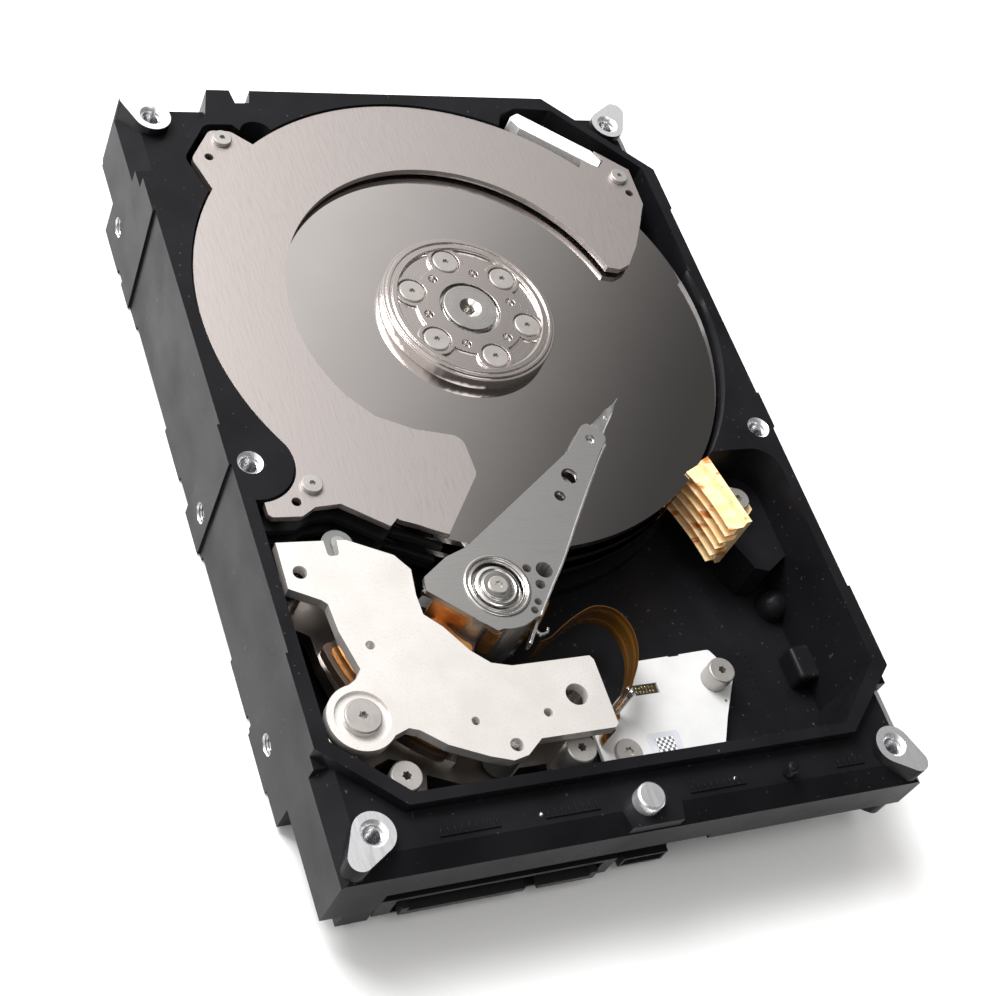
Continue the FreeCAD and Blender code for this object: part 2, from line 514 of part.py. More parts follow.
# ---- voice-coil motor ---------------------------------------------------------------------------------------
def yoke_outline():
    return [(-46.9, -19.8), (-35.7, -20.4), (-28.7, -23.9), (-26.7, -26.7), (-27.3, -31.2), (-27.2, -34.7),
            (-24.7, -37.2), (-21.7, -41.7), (-19.0, -44.2), (-15.7, -45.1), (-2.2, -45.1), (-1.7, -45.9),
            (-1.7, -57.0), (-2.3, -57.6), (-15.2, -57.6), (-18.2, -59.9), (-20.8, -60.4), (-24.3, -59.2),
            (-30.2, -56.4), (-33.8, -53.5), (-35.4, -52.9), (-38.0, -53.8), (-38.0, -49.0), (-46.2, -46.9),
            (-41.0, -44.0), (-39.9, -42.5), (-41.4, -36.0), (-41.7, -31.2), (-42.5, -30.4), (-47.1, -27.9)]


def yoke_plate(z0, z1):
    boss = cylinder(YOKE_SCREWS[0][0], YOKE_SCREWS[0][1], z0, z1, 5.4)
    return fused([prism(yoke_outline(), z0, z1), boss])


def vcm_top_plate():
    plate = yoke_plate(YOKE_UPPER_LOW, YOKE_TOP)
    x, y = YOKE_SCREWS[0][0], YOKE_SCREWS[0][1]
    tools = [cylinder(x, y, YOKE_TOP - 0.7, YOKE_TOP + 1, 4.3), cylinder(x, y, 15, 25, 1.1)]
    for hx, hy, radius in ((-44.5, -25.3, 1.15), (-37.2, -38.8, 0.75), (-24.7, -53.3, 0.7), (-12.6, -53.6, 0.75),
                           (-6.8, -51.3, 1.85), (-19.5, -58.0, 1.1)):
        tools.append(cylinder(hx, hy, 15, 25, radius))
    tools.append(rounded_prism([(-39.3, -23.0), (-37.4, -23.0), (-37.0, -18.0), (-39.3, -18.0)],
                               15, 25, 0.6, [0, 1]))
    return cut_all(plate, tools)


def vcm_bottom_plate():
    plate = yoke_plate(YOKE_LOWER_LOW, YOKE_LOWER_TOP)
    ears = [cylinder(x, y, YOKE_LOWER_LOW, YOKE_LOWER_TOP, 3.1) for x, y, _ in YOKE_SCREWS[1:]]
    ears.append(prism([(-36.4, -55.6), (-30.0, -55.0), (-31.0, -59.0), (-35.0, -61.3)],
                      YOKE_LOWER_LOW, YOKE_LOWER_TOP))
    plate = fused([plate] + ears)
    holes = [cylinder(x, y, 5, 15, 0.95) for x, y, _ in YOKE_SCREWS]
    return cut_all(plate, holes)


def magnet(z0, z1):
    """A kidney-shaped magnet over the coil's sweep."""
    outer = arc_points(27.4, COIL_DIRECTION - 28, COIL_DIRECTION + 30, 12, PIVOT_X, PIVOT_Y)
    inner = arc_points(15.0, COIL_DIRECTION + 32, COIL_DIRECTION - 30, 12, PIVOT_X, PIVOT_Y)
    return prism(outer + inner, z0, z1)


COIL_NEAR, COIL_FAR = 8.6, 28.4            # pivot to the inner and outer edges of the winding
COIL_HALF_ANGLE = 23.5
WINDOW_NEAR, WINDOW_FAR = 13.0, 24.2
WINDOW_HALF_ANGLE = 11.5
MOULD_FAR = 29.2
MOULD_HALF_ANGLE = 25.8


def fan(near, far, half_angle, z0, z1, rounding, corners):
    """A sector of a ring about the pivot, centred on the coil's heading."""
    inner = arc_points(near, COIL_DIRECTION - half_angle, COIL_DIRECTION + half_angle, 4, PIVOT_X, PIVOT_Y)
    outer = arc_points(far, COIL_DIRECTION + half_angle, COIL_DIRECTION - half_angle, 10, PIVOT_X, PIVOT_Y)
    return rounded_prism(inner + outer, z0, z1, rounding, corners)


def voice_coil():
    winding = fan(COIL_NEAR, COIL_FAR, COIL_HALF_ANGLE, COIL_LOW, COIL_HIGH, 1.0, [0, 4, 5, 15])
    window = fan(WINDOW_NEAR, WINDOW_FAR, WINDOW_HALF_ANGLE, COIL_LOW - 1, COIL_HIGH + 1, 0.6, [0, 4, 5, 15])
    return winding.cut(window)


def coil_overmould():
    """The plastic frame that grips the winding and ties it to the arm block."""
    frame = fan(COIL_NEAR - 1.0, MOULD_FAR, MOULD_HALF_ANGLE, COIL_LOW + 0.4, COIL_HIGH - 0.3, 1.0, [5, 15])
    frame = frame.cut(fan(COIL_NEAR, COIL_FAR, COIL_HALF_ANGLE, COIL_LOW - 1, COIL_HIGH + 1, 1.0, [0, 4, 5, 15]))
    return frame.cut(arm_block())


def stop_centre(edge_sign, limit):
    """A crash stop stands just past where the frame's edge comes to rest at the limit."""
    reach = 25.4
    width = math.degrees(math.asin((STOP_RADIUS + STOP_GAP) / reach))
    return polar(reach, COIL_DIRECTION + limit + edge_sign * (MOULD_HALF_ANGLE + width))


def crash_stop(centre):
    return ring(centre[0], centre[1], YOKE_LOWER_TOP + 0.4, YOKE_UPPER_LOW - 0.4, STOP_RADIUS, 1.2)


def crash_stop_pins(centres):
    pins = [cylinder(x, y, YOKE_LOWER_TOP, YOKE_UPPER_LOW, 1.2) for x, y in centres]
    return Part.makeCompound(pins)


def vcm_posts():
    """Posts that carry the upper plate above the lower one."""
    posts = [ring(YOKE_SCREWS[0][0], YOKE_SCREWS[0][1], YOKE_LOWER_TOP, YOKE_UPPER_LOW, 2.6, 1.1)]
    posts.append(ring(-44.5, -25.3, YOKE_LOWER_TOP, YOKE_UPPER_LOW, 2.0, 1.15))
    posts.append(ring(-6.8, -51.3, YOKE_LOWER_TOP, YOKE_UPPER_LOW, 2.9, 1.85))
    return Part.makeCompound(posts)


def vcm_screws():
    x, y, _ = YOKE_SCREWS[0]
    screws = [screw(x, y, YOKE_TOP - 0.7, 2.9, 1.3, 0.85, YOKE_TOP - 0.7 - 6.0, 0.8)]
    for x, y, top in YOKE_SCREWS[1:]:
        height = top + 2.6 - YOKE_LOWER_TOP
        screws.append(screw(x, y, YOKE_LOWER_TOP, 2.5, height, 0.85, YOKE_LOWER_TOP - 6.0, 0.8))
    return Part.makeCompound(screws)


# ---- actuator -----------------------------------------------------------------------------------------------
ARM_BLOCK_RADIUS = 7.6
CROWN_RADIUS = 12.0        # the crown turns inside the plates of the coil motor
SLEEVE_RADIUS = 5.6
SUSPENSION_THICK = 0.2
HEAD_HEADING = 44.0        # heading of the load beams at rest


def arm_point(along, across):
    """A plan point in the arm's own axes: along its heading and to its left."""
    angle = math.radians(HEAD_HEADING)
    return (PIVOT_X + along * math.cos(angle) - across * math.sin(angle),
            PIVOT_Y + along * math.sin(angle) + across * math.cos(angle))


def arm_outline():
    """The flat arm: a crown round the pivot that narrows to a neck and ends in a squared tip."""
    return [(-16.5, -24.0), (8.2, -7.4), (9.4, -6.0), (12.6, -2.5), (13.8, -2.2), (15.9, -4.2), (16.2, -5.5),
            (14.6, -7.4), (13.0, -9.4), (-0.9, -28.3), (-8.2, -37.5), (-16.2, -39.2), (-25.7, -30.9),
            (-25.6, -28.8), (-20.5, -25.4)]


def arm_plate(top):
    """Only the top arm keeps the crown behind the pivot; below it that space belongs to the coil."""
    plate = rounded_prism(arm_outline(), top - ARM_THICK, top, 0.6, [3, 4, 5, 6])
    plate = plate.common(cylinder(PIVOT_X, PIVOT_Y, 0, 30, CROWN_RADIUS).fuse(
        prism([(-25.0, -23.0), (20.0, 6.0), (30.0, -6.0), (-5.0, -40.0)], 0, 30)))
    if top < ARM_TOP:
        behind = prism([polar(0, 0), polar(30, COIL_DIRECTION - 62), polar(40, COIL_DIRECTION),
                        polar(30, COIL_DIRECTION + 62)], 0, 30)
        plate = plate.cut(behind.cut(cylinder(PIVOT_X, PIVOT_Y, 0, 30, ARM_BLOCK_RADIUS)))
    return plate


def arm_block():
    """Four arms on one hub, bored for the pivot sleeve and pierced to lighten it."""
    low = ARM_TOPS[-1] - ARM_THICK
    body = cylinder(PIVOT_X, PIVOT_Y, low, ARM_TOP, ARM_BLOCK_RADIUS)
    cheek = prism([(-9.0, -25.8), (-3.4, -27.5), (-1.6, -29.4), (-8.6, -37.4), (-12.0, -38.0)], low, ARM_TOP)
    solid = fused([body, cheek] + [arm_plate(top) for top in ARM_TOPS])
    tools = [cylinder(PIVOT_X, PIVOT_Y, low - 1, ARM_TOP + 1, SLEEVE_RADIUS)]
    for x, y, radius in ((6.5, -12.4, 1.5), (3.3, -16.1, 1.0), (-4.6, -29.5, 1.45), (-7.5, -28.9, 0.75),
                         (-6.2, -32.0, 0.85), (-7.7, -35.0, 0.65), (-8.8, -36.4, 0.65), (13.2, -5.4, 0.9)):
        tools.append(cylinder(x, y, low - 1, ARM_TOP + 1, radius))
    return cut_all(solid, tools)


def suspension_levels():
    """Underside height of each load beam, and whether its head faces down."""
    levels = []
    for top in PLATTER_TOPS:
        levels.append((top + 0.55, True))
        levels.append((top - PLATTER_THICK - 0.55 - SUSPENSION_THICK, False))
    return levels


def suspensions():
    beams = []
    for z, _ in suspension_levels():
        beam = prism([arm_point(36.5, 1.8), arm_point(41.0, 1.7), arm_point(46.6, 0.6), arm_point(TAB_RADIUS, 0.2),
                      arm_point(TAB_RADIUS, -0.2), arm_point(46.6, -0.6), arm_point(41.0, -1.7),
                      arm_point(36.5, -1.8)], z, z + SUSPENSION_THICK)
        beams.append(beam)
    return Part.makeCompound(beams)


def head_sliders():
    heads = []
    angle = HEAD_HEADING
    for z, faces_down in suspension_levels():
        low = z - 0.4 if faces_down else z + SUSPENSION_THICK
        slider = box(45.8, -0.35, low, 47.0, 0.35, low + 0.4)
        slider.rotate(Vector(0, 0, 0), Vector(0, 0, 1), angle)
        slider.translate(Vector(PIVOT_X, PIVOT_Y, 0))
        heads.append(slider)
    return Part.makeCompound(heads)


def pivot_sleeve():
    return ring(PIVOT_X, PIVOT_Y, 7.6, ARM_TOP + 0.2, SLEEVE_RADIUS, 4.2)


def pivot_bearings():
    lower = ring(PIVOT_X, PIVOT_Y, 8.2, 10.8, 4.15, 2.4)
    upper = ring(PIVOT_X, PIVOT_Y, 19.4, 22.0, 4.15, 2.4)
    return Part.makeCompound([lower, upper])


def pivot_shaft():
    shaft = cylinder(PIVOT_X, PIVOT_Y, 7.2, 22.5, 2.4)
    cap = cylinder(PIVOT_X, PIVOT_Y, 22.5, 23.1, 3.6)
    return shaft.fuse(cap).cut(cylinder(PIVOT_X, PIVOT_Y, 6, 24, 1.2)).removeSplitter()


def preamp_flex():
    """The flexible circuit that lies along the arm block's right cheek, with its amplifier chip."""
    strip = prism([(-1.6, -29.4), (-1.3, -29.7), (-8.3, -37.7), (-8.6, -37.4)], 12.4, 21.0)
    chip = prism([(-3.4, -31.9), (-2.6, -32.6), (-5.6, -36.1), (-6.4, -35.4)], 14.6, 17.6)
    return strip.fuse(chip).cut(arm_block()).removeSplitter()


# ---- flex circuit and bracket ----------------------------------------------------------------------------------
BRACKET_TOP = 7.0
FLEX_LOW, FLEX_HIGH = 10.8, 16.2
FLEX_THICK = 0.25
FLEX_ROUTE = [(-0.6, -36.1), (2.6, -34.5), (6.2, -33.3), (9.6, -34.6), (11.2, -37.8), (11.0, -41.4), (9.6, -44.8),
              (7.6, -47.6)]


def flex_bracket():
    plate = rounded_prism([(3.0, -48.0), (9.0, -48.0), (15.4, -39.8), (30.2, -39.4), (33.2, -44.4), (28.6, -52.1),
                           (26.0, -57.0), (24.0, -61.6), (3.0, -61.6)], 6.2, BRACKET_TOP, 0.8)
    window = box(13.2, -46.0, 5.0, 17.8, -44.1, 8.0)
    notches = [box(22.0, -39.8, 5, 24.2, -38.9, 8)]
    holes = [cylinder(x, y, 5, 8, 0.95) for x, y in BRACKET_SCREWS]
    holes.append(cylinder(29.6, -49.2, 5, 8, 0.3))
    return cut_all(plate, [window] + notches + holes)


def flex_bracket_screws():
    tall = screw(BRACKET_SCREWS[0][0], BRACKET_SCREWS[0][1], BRACKET_TOP, 2.4, 3.5, 0.85, 2.4, 0.8)
    flat = screw(BRACKET_SCREWS[1][0], BRACKET_SCREWS[1][1], BRACKET_TOP, 2.4, 0.8, 0.85, 2.4, 0.9)
    return Part.makeCompound([tall, flat])


def flex_connector():
    """The plug that takes the circuit through the floor to the board."""
    pad_block = box(12.6, -46.6, BAY_FLOOR, 18.4, -43.5, 6.2)
    tongue = box(13.4, -45.8, 6.2, 17.6, -44.3, 6.6)
    return pad_block.fuse(tongue).removeSplitter()


def flex_clip():
    post = box(6.2, -49.6, BRACKET_TOP, 8.4, -48.1, 15.4)
    return post.cut(box(7.0, -49.0, 9.0, 8.0, -47.0, 20.0))


def flex_cable():
    """A ribbon standing on edge, in one open loop between the bracket and the arm block."""
    points = [Vector(x, y, FLEX_LOW) for x, y in FLEX_ROUTE]
    left, right = [], []
    for k, point in enumerate(points):
        ahead = points[min(k + 1, len(points) - 1)] - points[max(k - 1, 0)]
        across = Vector(-ahead.y, ahead.x, 0).normalize() * (FLEX_THICK / 2)
        left.append(point + across)
        right.append(point - across)
    first, second = Part.BSplineCurve(), Part.BSplineCurve()
    first.interpolate(left)
    second.interpolate(list(reversed(right)))
    ends = [Part.makeLine(left[-1], right[-1]), Part.makeLine(right[0], left[0])]
    edges = [first.toShape(), ends[0], second.toShape(), ends[1]]
    return Part.Face(Part.Wire(edges)).extrude(Vector(0, 0, FLEX_HIGH - FLEX_LOW))


# ---- underside: board, connector and fastenings ---------------------------------------------------------
def circuit_board():
    half = BOARD_HALF
    outline = [(-half, -62.0), (-41.4, -64.2), (-41.4, -71.0), (11.0, -71.0), (13.0, -67.0), (40.0, -67.0),
               (half, -60.0), (half, -13.0), (30.0, -3.4), (-30.0, -3.4), (-half, -13.0)]
    board = prism(outline, BOARD_LOW, BOARD_HIGH)
    return cut_all(board, [cylinder(x, y, 0, 3, 1.1) for x, y in BOARD_SCREWS])


def board_screws():
    screws = []
    for x, y in BOARD_SCREWS:
        body = screw(x, y, 0, 2.0, 0.7, 1.0, 3.2, 0.6)
        body.rotate(Vector(x, y, 0), Vector(1, 0, 0), 180)
        body.translate(Vector(0, 0, BOARD_LOW))
        screws.append(body)
    return Part.makeCompound(screws)


def board_chips():
    boxes = [(-22.0, -44.0, 14.0, 14.0), (8.0, -46.0, 9.0, 13.0), (24.0, -30.0, 8.0, 8.0), (-34.0, -30.0, 6.0, 5.0)]
    return Part.makeCompound([box(x - w / 2, y - d / 2, BOARD_HIGH, x + w / 2, y + d / 2, BOARD_HIGH + 0.6)
                              for x, y, w, d in boxes])


def spindle_contacts():
    """Sprung contacts between the board and the motor's lead pads."""
    return Part.makeCompound([box(-4.5 + 2.6 * k, -2.9, BOARD_LOW, -3.2 + 2.6 * k, 2.0, BOARD_LOW + 0.4)
                              for k in range(4)])


def motor_lead_strip():
    return box(-5.2, -2.0, 2.0, 5.2, 6.6, 2.2)


def sata_connector():
    """The housing with its two tongues: power to the outside, data towards the middle."""
    shell = box(CONNECTOR_X - 20.3, -72.6, BOARD_HIGH, CONNECTOR_X + 19.7, -64.8, 7.2)
    mouth = box(CONNECTOR_X - 17.4, -75.0, 2.4, CONNECTOR_X + 17.4, -67.6, 6.4)
    shell = shell.cut(mouth)
    power = box(CONNECTOR_X - 16.6, -73.5, 3.0, CONNECTOR_X + 4.4, -67.4, 4.2)
    power = power.fuse(box(CONNECTOR_X - 16.6, -73.5, 3.0, CONNECTOR_X - 15.4, -67.4, 5.4))
    data = box(CONNECTOR_X + 6.6, -73.5, 3.0, CONNECTOR_X + 16.6, -67.4, 4.2)
    data = data.fuse(box(CONNECTOR_X + 15.4, -73.5, 3.0, CONNECTOR_X + 16.6, -67.4, 5.4))
    return fused([shell, power, data])


def sata_contacts():
    """Fifteen power blades and seven data blades on the lower face of the tongues."""
    blades = []
    for k in range(15):
        x = CONNECTOR_X - 14.6 + 1.27 * k
        blades.append(box(x - 0.4, -73.2, 2.85, x + 0.4, -68.0, 3.0))
    for k in range(7):
        x = CONNECTOR_X + 7.4 + 1.27 * k
        blades.append(box(x - 0.35, -73.2, 2.85, x + 0.35, -68.0, 3.0))
    return Part.makeCompound(blades)


def jumper_block():
    shell = box(JUMPER_X - 4.0, -72.2, BOARD_HIGH, JUMPER_X + 4.0, -66.4, 4.9)
    return shell.cut(box(JUMPER_X - 3.6, -75.0, 2.4, JUMPER_X + 3.6, -68.0, 4.4))


def jumper_pins():
    pins = []
    for k in range(4):
        x = JUMPER_X - 3.0 + 2.0 * k
        pins.append(box(x - 0.3, -71.8, 3.1, x + 0.3, -68.0, 3.7))
    return Part.makeCompound(pins)


# ---- write every piece ----------------------------------------------------------------------------------
outer_stop = stop_centre(-1, PARK_ANGLE)
inner_stop = stop_centre(1, INNER_ANGLE)
print("crash stops", [round(v, 2) for v in outer_stop + inner_stop])

save("base_casting", base_casting())
save("spindle_shaft", spindle_shaft())
save("stator_core", stator_core())
save("stator_windings", stator_windings())
save("spindle_hub", spindle_hub())
save("rotor_magnet", ring(SPINDLE_X, SPINDLE_Y, 4.6, 10.0, 12.2, 11.1))
for number, top in enumerate(PLATTER_TOPS, 1):
    save("platter_%d" % number, ring(SPINDLE_X, SPINDLE_Y, top - PLATTER_THICK, top, PLATTER_RADIUS, PLATTER_BORE))
save("platter_spacers", Part.makeCompound([
    ring(SPINDLE_X, SPINDLE_Y, top, top + PLATTER_PITCH - PLATTER_THICK, 15.4, PLATTER_BORE)
    for top in PLATTER_TOPS[1:]]))
save("disk_clamp", disk_clamp())
save("clamp_screws", clamp_screws())

save("top_damper_plate", top_damper_plate())
save("middle_damper_plate", inner_damper_plate(0))
save("lower_damper_plate", inner_damper_plate(1))
save("damper_spacers", damper_spacers())
save("damper_screws", Part.makeCompound([screw(x, y, DAMPER_TOP, 1.7, 0.8, 0.85, 12.0, 0.6)
                                         for x, y in DAMPER_SCREWS]))
save("recirculation_filter", recirculation_filter())
save("load_ramp", load_ramp())
save("ramp_screw", screw(RAMP_SCREW[0], RAMP_SCREW[1], PEDESTAL_TOP + 2.0, 2.2, 1.3, 0.85, 4.6, 0.8))

save("vcm_top_plate", vcm_top_plate())
save("vcm_bottom_plate", vcm_bottom_plate())
save("vcm_top_magnet", magnet(YOKE_UPPER_LOW - MAGNET_THICK, YOKE_UPPER_LOW))
save("vcm_bottom_magnet", magnet(YOKE_LOWER_TOP, YOKE_LOWER_TOP + MAGNET_THICK))
save("vcm_posts", vcm_posts())
save("vcm_screws", vcm_screws())
save("outer_crash_stop", crash_stop(outer_stop))
save("inner_crash_stop", crash_stop(inner_stop))
save("crash_stop_pins", crash_stop_pins([outer_stop, inner_stop]))

save("arm_block", arm_block())
save("suspensions", suspensions())
save("head_sliders", head_sliders())
save("voice_coil", voice_coil())
save("coil_overmould", coil_overmould())
save("pivot_sleeve", pivot_sleeve())
save("preamp_flex", preamp_flex())
save("pivot_shaft", pivot_shaft())
save("pivot_bearings", pivot_bearings())
save("pivot_screw", screw(PIVOT_X, PIVOT_Y, 23.1, 1.6, 0.35, 1.15, 15.5, 0.7))

save("flex_bracket", flex_bracket())
save("flex_bracket_screws", flex_bracket_screws())
save("flex_connector", flex_connector())
save("flex_clip", flex_clip())
save("flex_cable", flex_cable())

save("circuit_board", circuit_board())
save("board_screws", board_screws())
save("board_chips", board_chips())
save("spindle_contacts", spindle_contacts())
save("motor_lead_strip", motor_lead_strip())
save("sata_connector", sata_connector())
save("sata_contacts", sata_contacts())
save("jumper_block", jumper_block())
save("jumper_pins", jumper_pins())
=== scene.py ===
import bmesh
import bpy
import math
from mathutils import Matrix, Vector


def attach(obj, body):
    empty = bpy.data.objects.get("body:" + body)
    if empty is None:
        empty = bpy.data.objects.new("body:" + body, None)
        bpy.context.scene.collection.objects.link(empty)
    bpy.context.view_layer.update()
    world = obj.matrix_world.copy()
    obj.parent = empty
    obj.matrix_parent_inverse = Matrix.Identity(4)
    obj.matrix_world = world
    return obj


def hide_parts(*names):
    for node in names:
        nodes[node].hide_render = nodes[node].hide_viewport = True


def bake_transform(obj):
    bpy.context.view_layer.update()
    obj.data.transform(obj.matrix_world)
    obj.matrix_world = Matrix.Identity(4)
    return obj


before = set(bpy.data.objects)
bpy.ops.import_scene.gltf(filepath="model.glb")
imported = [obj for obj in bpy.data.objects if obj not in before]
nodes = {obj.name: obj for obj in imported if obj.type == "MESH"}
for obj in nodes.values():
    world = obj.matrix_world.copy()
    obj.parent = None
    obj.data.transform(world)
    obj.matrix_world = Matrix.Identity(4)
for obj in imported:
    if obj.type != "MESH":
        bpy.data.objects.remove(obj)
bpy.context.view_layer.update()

MM = 0.001

# Places and heights of the CAD model that the looks below refer to, in millimetres.
SPINDLE = (0.0, 22.77)
PIVOT = (-13.6, -31.5)
ARM_HEADING = math.radians(44.0)
COIL_HEADING = math.radians(213.0)
HALF_WIDTH = 50.8
RIM_TOP = 23.2
POST_TOP = 22.6
LEDGE_TOP = 20.8
BRACKET_TOP = 7.0
COVER_HOLES = [(-47.3, -5.6), (47.3, -5.6)]
POSTS = [(-45.6, 67.7), (45.6, 67.7), (-45.6, -67.9), (45.6, -67.9)]
SIDE_HOLE_YS = (-45.0, -3.4, 56.6)
SIDE_HOLE_Z = 6.35
DATUM_BOSS = (-1.2, -69.6)


# ---- camera, floor and light ---------------------------------------------------------------------------
CAMERA_PLACE = Vector((-146.2, -156.4, 250.0)) * MM
CAMERA_AIM = Vector((-0.9, -8.8, 12.0)) * MM
CAMERA_ROLL = math.radians(31.8)
LENS_MM = 67.6


def add_camera():
    data = bpy.data.cameras.new("camera")
    data.lens = LENS_MM
    data.sensor_width = 36.0
    data.clip_start = 0.01
    camera = bpy.data.objects.new("camera", data)
    bpy.context.scene.collection.objects.link(camera)
    aim = (CAMERA_AIM - CAMERA_PLACE).to_track_quat("-Z", "Y").to_matrix().to_4x4()
    camera.matrix_world = Matrix.Translation(CAMERA_PLACE) @ aim @ Matrix.Rotation(CAMERA_ROLL, 4, "Z")
    bpy.context.scene.camera = camera


def add_light(name, place, target, size, power):
    data = bpy.data.lights.new(name, "AREA")
    data.shape = "RECTANGLE"
    data.size, data.size_y = size
    data.energy = power
    light = bpy.data.objects.new(name, data)
    light.location = place
    light.rotation_euler = (Vector(target) - Vector(place)).to_track_quat("-Z", "Y").to_euler()
    bpy.context.scene.collection.objects.link(light)


def add_world():
    """Soft studio surroundings: bright over the far left, falling off to dark on the right."""
    world = bpy.data.worlds.new("studio")
    world.use_nodes = True
    tree = world.node_tree
    tree.nodes.clear()
    coords = tree.nodes.new("ShaderNodeTexCoord")
    dot = tree.nodes.new("ShaderNodeVectorMath")
    dot.operation = "DOT_PRODUCT"
    dot.inputs[1].default_value = Vector((-0.75, 0.64, 0.16)).normalized()
    shade = tree.nodes.new("ShaderNodeMapRange")
    shade.interpolation_type = "SMOOTHSTEP"
    shade.inputs["From Min"].default_value = -0.01
    shade.inputs["From Max"].default_value = 0.31
    shade.inputs["To Min"].default_value = 0.085
    shade.inputs["To Max"].default_value = 1.2
    background = tree.nodes.new("ShaderNodeBackground")
    background.inputs["Color"].default_value = (1.0, 0.985, 0.97, 1.0)
    output = tree.nodes.new("ShaderNodeOutputWorld")
    tree.links.new(coords.outputs["Generated"], dot.inputs[0])
    tree.links.new(dot.outputs["Value"], shade.inputs["Value"])
    tree.links.new(shade.outputs["Result"], background.inputs["Strength"])
    tree.links.new(background.outputs["Background"], output.inputs["Surface"])
    bpy.context.scene.world = world


def add_floor():
    mesh = bpy.data.meshes.new("floor")
    half = 3.0
    corners = [(-half, -half, 0), (half, -half, 0), (half, half, 0), (-half, half, 0)]
    mesh.from_pydata(corners, [], [(0, 1, 2, 3)])
    floor = bpy.data.objects.new("floor", mesh)
    floor.location.z = -0.0002
    bpy.context.scene.collection.objects.link(floor)
    paint = Shader("floor_paint", (0.94, 0.94, 0.94), 0.0, 0.85)
    paint.surface.inputs["Specular IOR Level"].default_value = 0.1
    paint.surface.inputs["Emission Color"].default_value = (1.0, 1.0, 1.0, 1.0)
    paint.surface.inputs["Emission Strength"].default_value = 0.04
    mesh.materials.append(paint.material)


# ---- materials ------------------------------------------------------------------------------------------
class Shader:
    """A principled material with helpers that add procedural detail in object coordinates."""

    def __init__(self, name, colour, metallic, roughness):
        self.material = bpy.data.materials.new(name)
        self.material.use_nodes = True
        self.tree = self.material.node_tree
        self.surface = self.tree.nodes["Principled BSDF"]
        self.colour = colour
        self.surface.inputs["Base Color"].default_value = (*colour, 1.0)
        self.surface.inputs["Metallic"].default_value = metallic
        self.surface.inputs["Roughness"].default_value = roughness
        self.coords = self.tree.nodes.new("ShaderNodeTexCoord")
        self.normal = None

    def link(self, a, b):
        self.tree.links.new(a, b)

    def noise(self, scale, detail=3.0, stretch=(1.0, 1.0, 1.0), rough=0.5, turn=0.0):
        """Noise in a space stretched along each axis; scale is features per metre."""
        mapping = self.tree.nodes.new("ShaderNodeMapping")
        mapping.inputs["Scale"].default_value = [scale / s for s in stretch]
        mapping.inputs["Rotation"].default_value[2] = turn
        texture = self.tree.nodes.new("ShaderNodeTexNoise")
        texture.inputs["Scale"].default_value = 1.0
        texture.inputs["Detail"].default_value = detail
        texture.inputs["Roughness"].default_value = rough
        self.link(self.coords.outputs["Object"], mapping.inputs["Vector"])
        self.link(mapping.outputs["Vector"], texture.inputs["Vector"])
        return texture.outputs["Fac"]

    def radial(self, cx, cy, scale, detail=2.0):
        """Noise that varies only with the distance from an upright axis, for turned and spun faces."""
        shift = self.tree.nodes.new("ShaderNodeVectorMath")
        shift.operation = "SUBTRACT"
        shift.inputs[1].default_value = (cx * MM, cy * MM, 0.0)
        flat = self.tree.nodes.new("ShaderNodeVectorMath")
        flat.operation = "MULTIPLY"
        flat.inputs[1].default_value = (1.0, 1.0, 0.0)
        length = self.tree.nodes.new("ShaderNodeVectorMath")
        length.operation = "LENGTH"
        texture = self.tree.nodes.new("ShaderNodeTexNoise")
        texture.noise_dimensions = "1D"
        texture.inputs["Scale"].default_value = scale
        texture.inputs["Detail"].default_value = detail
        self.link(self.coords.outputs["Object"], shift.inputs[0])
        self.link(shift.outputs["Vector"], flat.inputs[0])
        self.link(flat.outputs["Vector"], length.inputs[0])
        self.link(length.outputs["Value"], texture.inputs["W"])
        return texture.outputs["Fac"]

    def remap(self, value, low, high, to_low, to_high):
        node = self.tree.nodes.new("ShaderNodeMapRange")
        node.inputs["From Min"].default_value = low
        node.inputs["From Max"].default_value = high
        node.inputs["To Min"].default_value = to_low
        node.inputs["To Max"].default_value = to_high
        self.link(value, node.inputs["Value"])
        return node.outputs["Result"]

    def tint(self, value, other, low=0.35, high=0.65):
        """The base colour drifts towards another colour with a noise value."""
        mix = self.tree.nodes.new("ShaderNodeMix")
        mix.data_type = "RGBA"
        current = self.surface.inputs["Base Color"]
        if current.is_linked:
            self.link(current.links[0].from_socket, mix.inputs["A"])
        else:
            mix.inputs["A"].default_value = (*self.colour, 1.0)
        mix.inputs["B"].default_value = (*other, 1.0)
        self.link(self.remap(value, low, high, 0.0, 1.0), mix.inputs["Factor"])
        self.link(mix.outputs["Result"], current)

    def vary_roughness(self, value, low, high):
        self.link(self.remap(value, 0.3, 0.7, low, high), self.surface.inputs["Roughness"])

    def bump(self, value, depth_mm, strength=1.0):
        node = self.tree.nodes.new("ShaderNodeBump")
        node.inputs["Strength"].default_value = strength
        node.inputs["Distance"].default_value = depth_mm * MM
        self.link(value, node.inputs["Height"])
        if self.normal is not None:
            self.link(self.normal, node.inputs["Normal"])
        self.normal = node.outputs["Normal"]
        self.link(self.normal, self.surface.inputs["Normal"])

    def coat(self, weight, roughness):
        self.surface.inputs["Coat Weight"].default_value = weight
        self.surface.inputs["Coat Roughness"].default_value = roughness


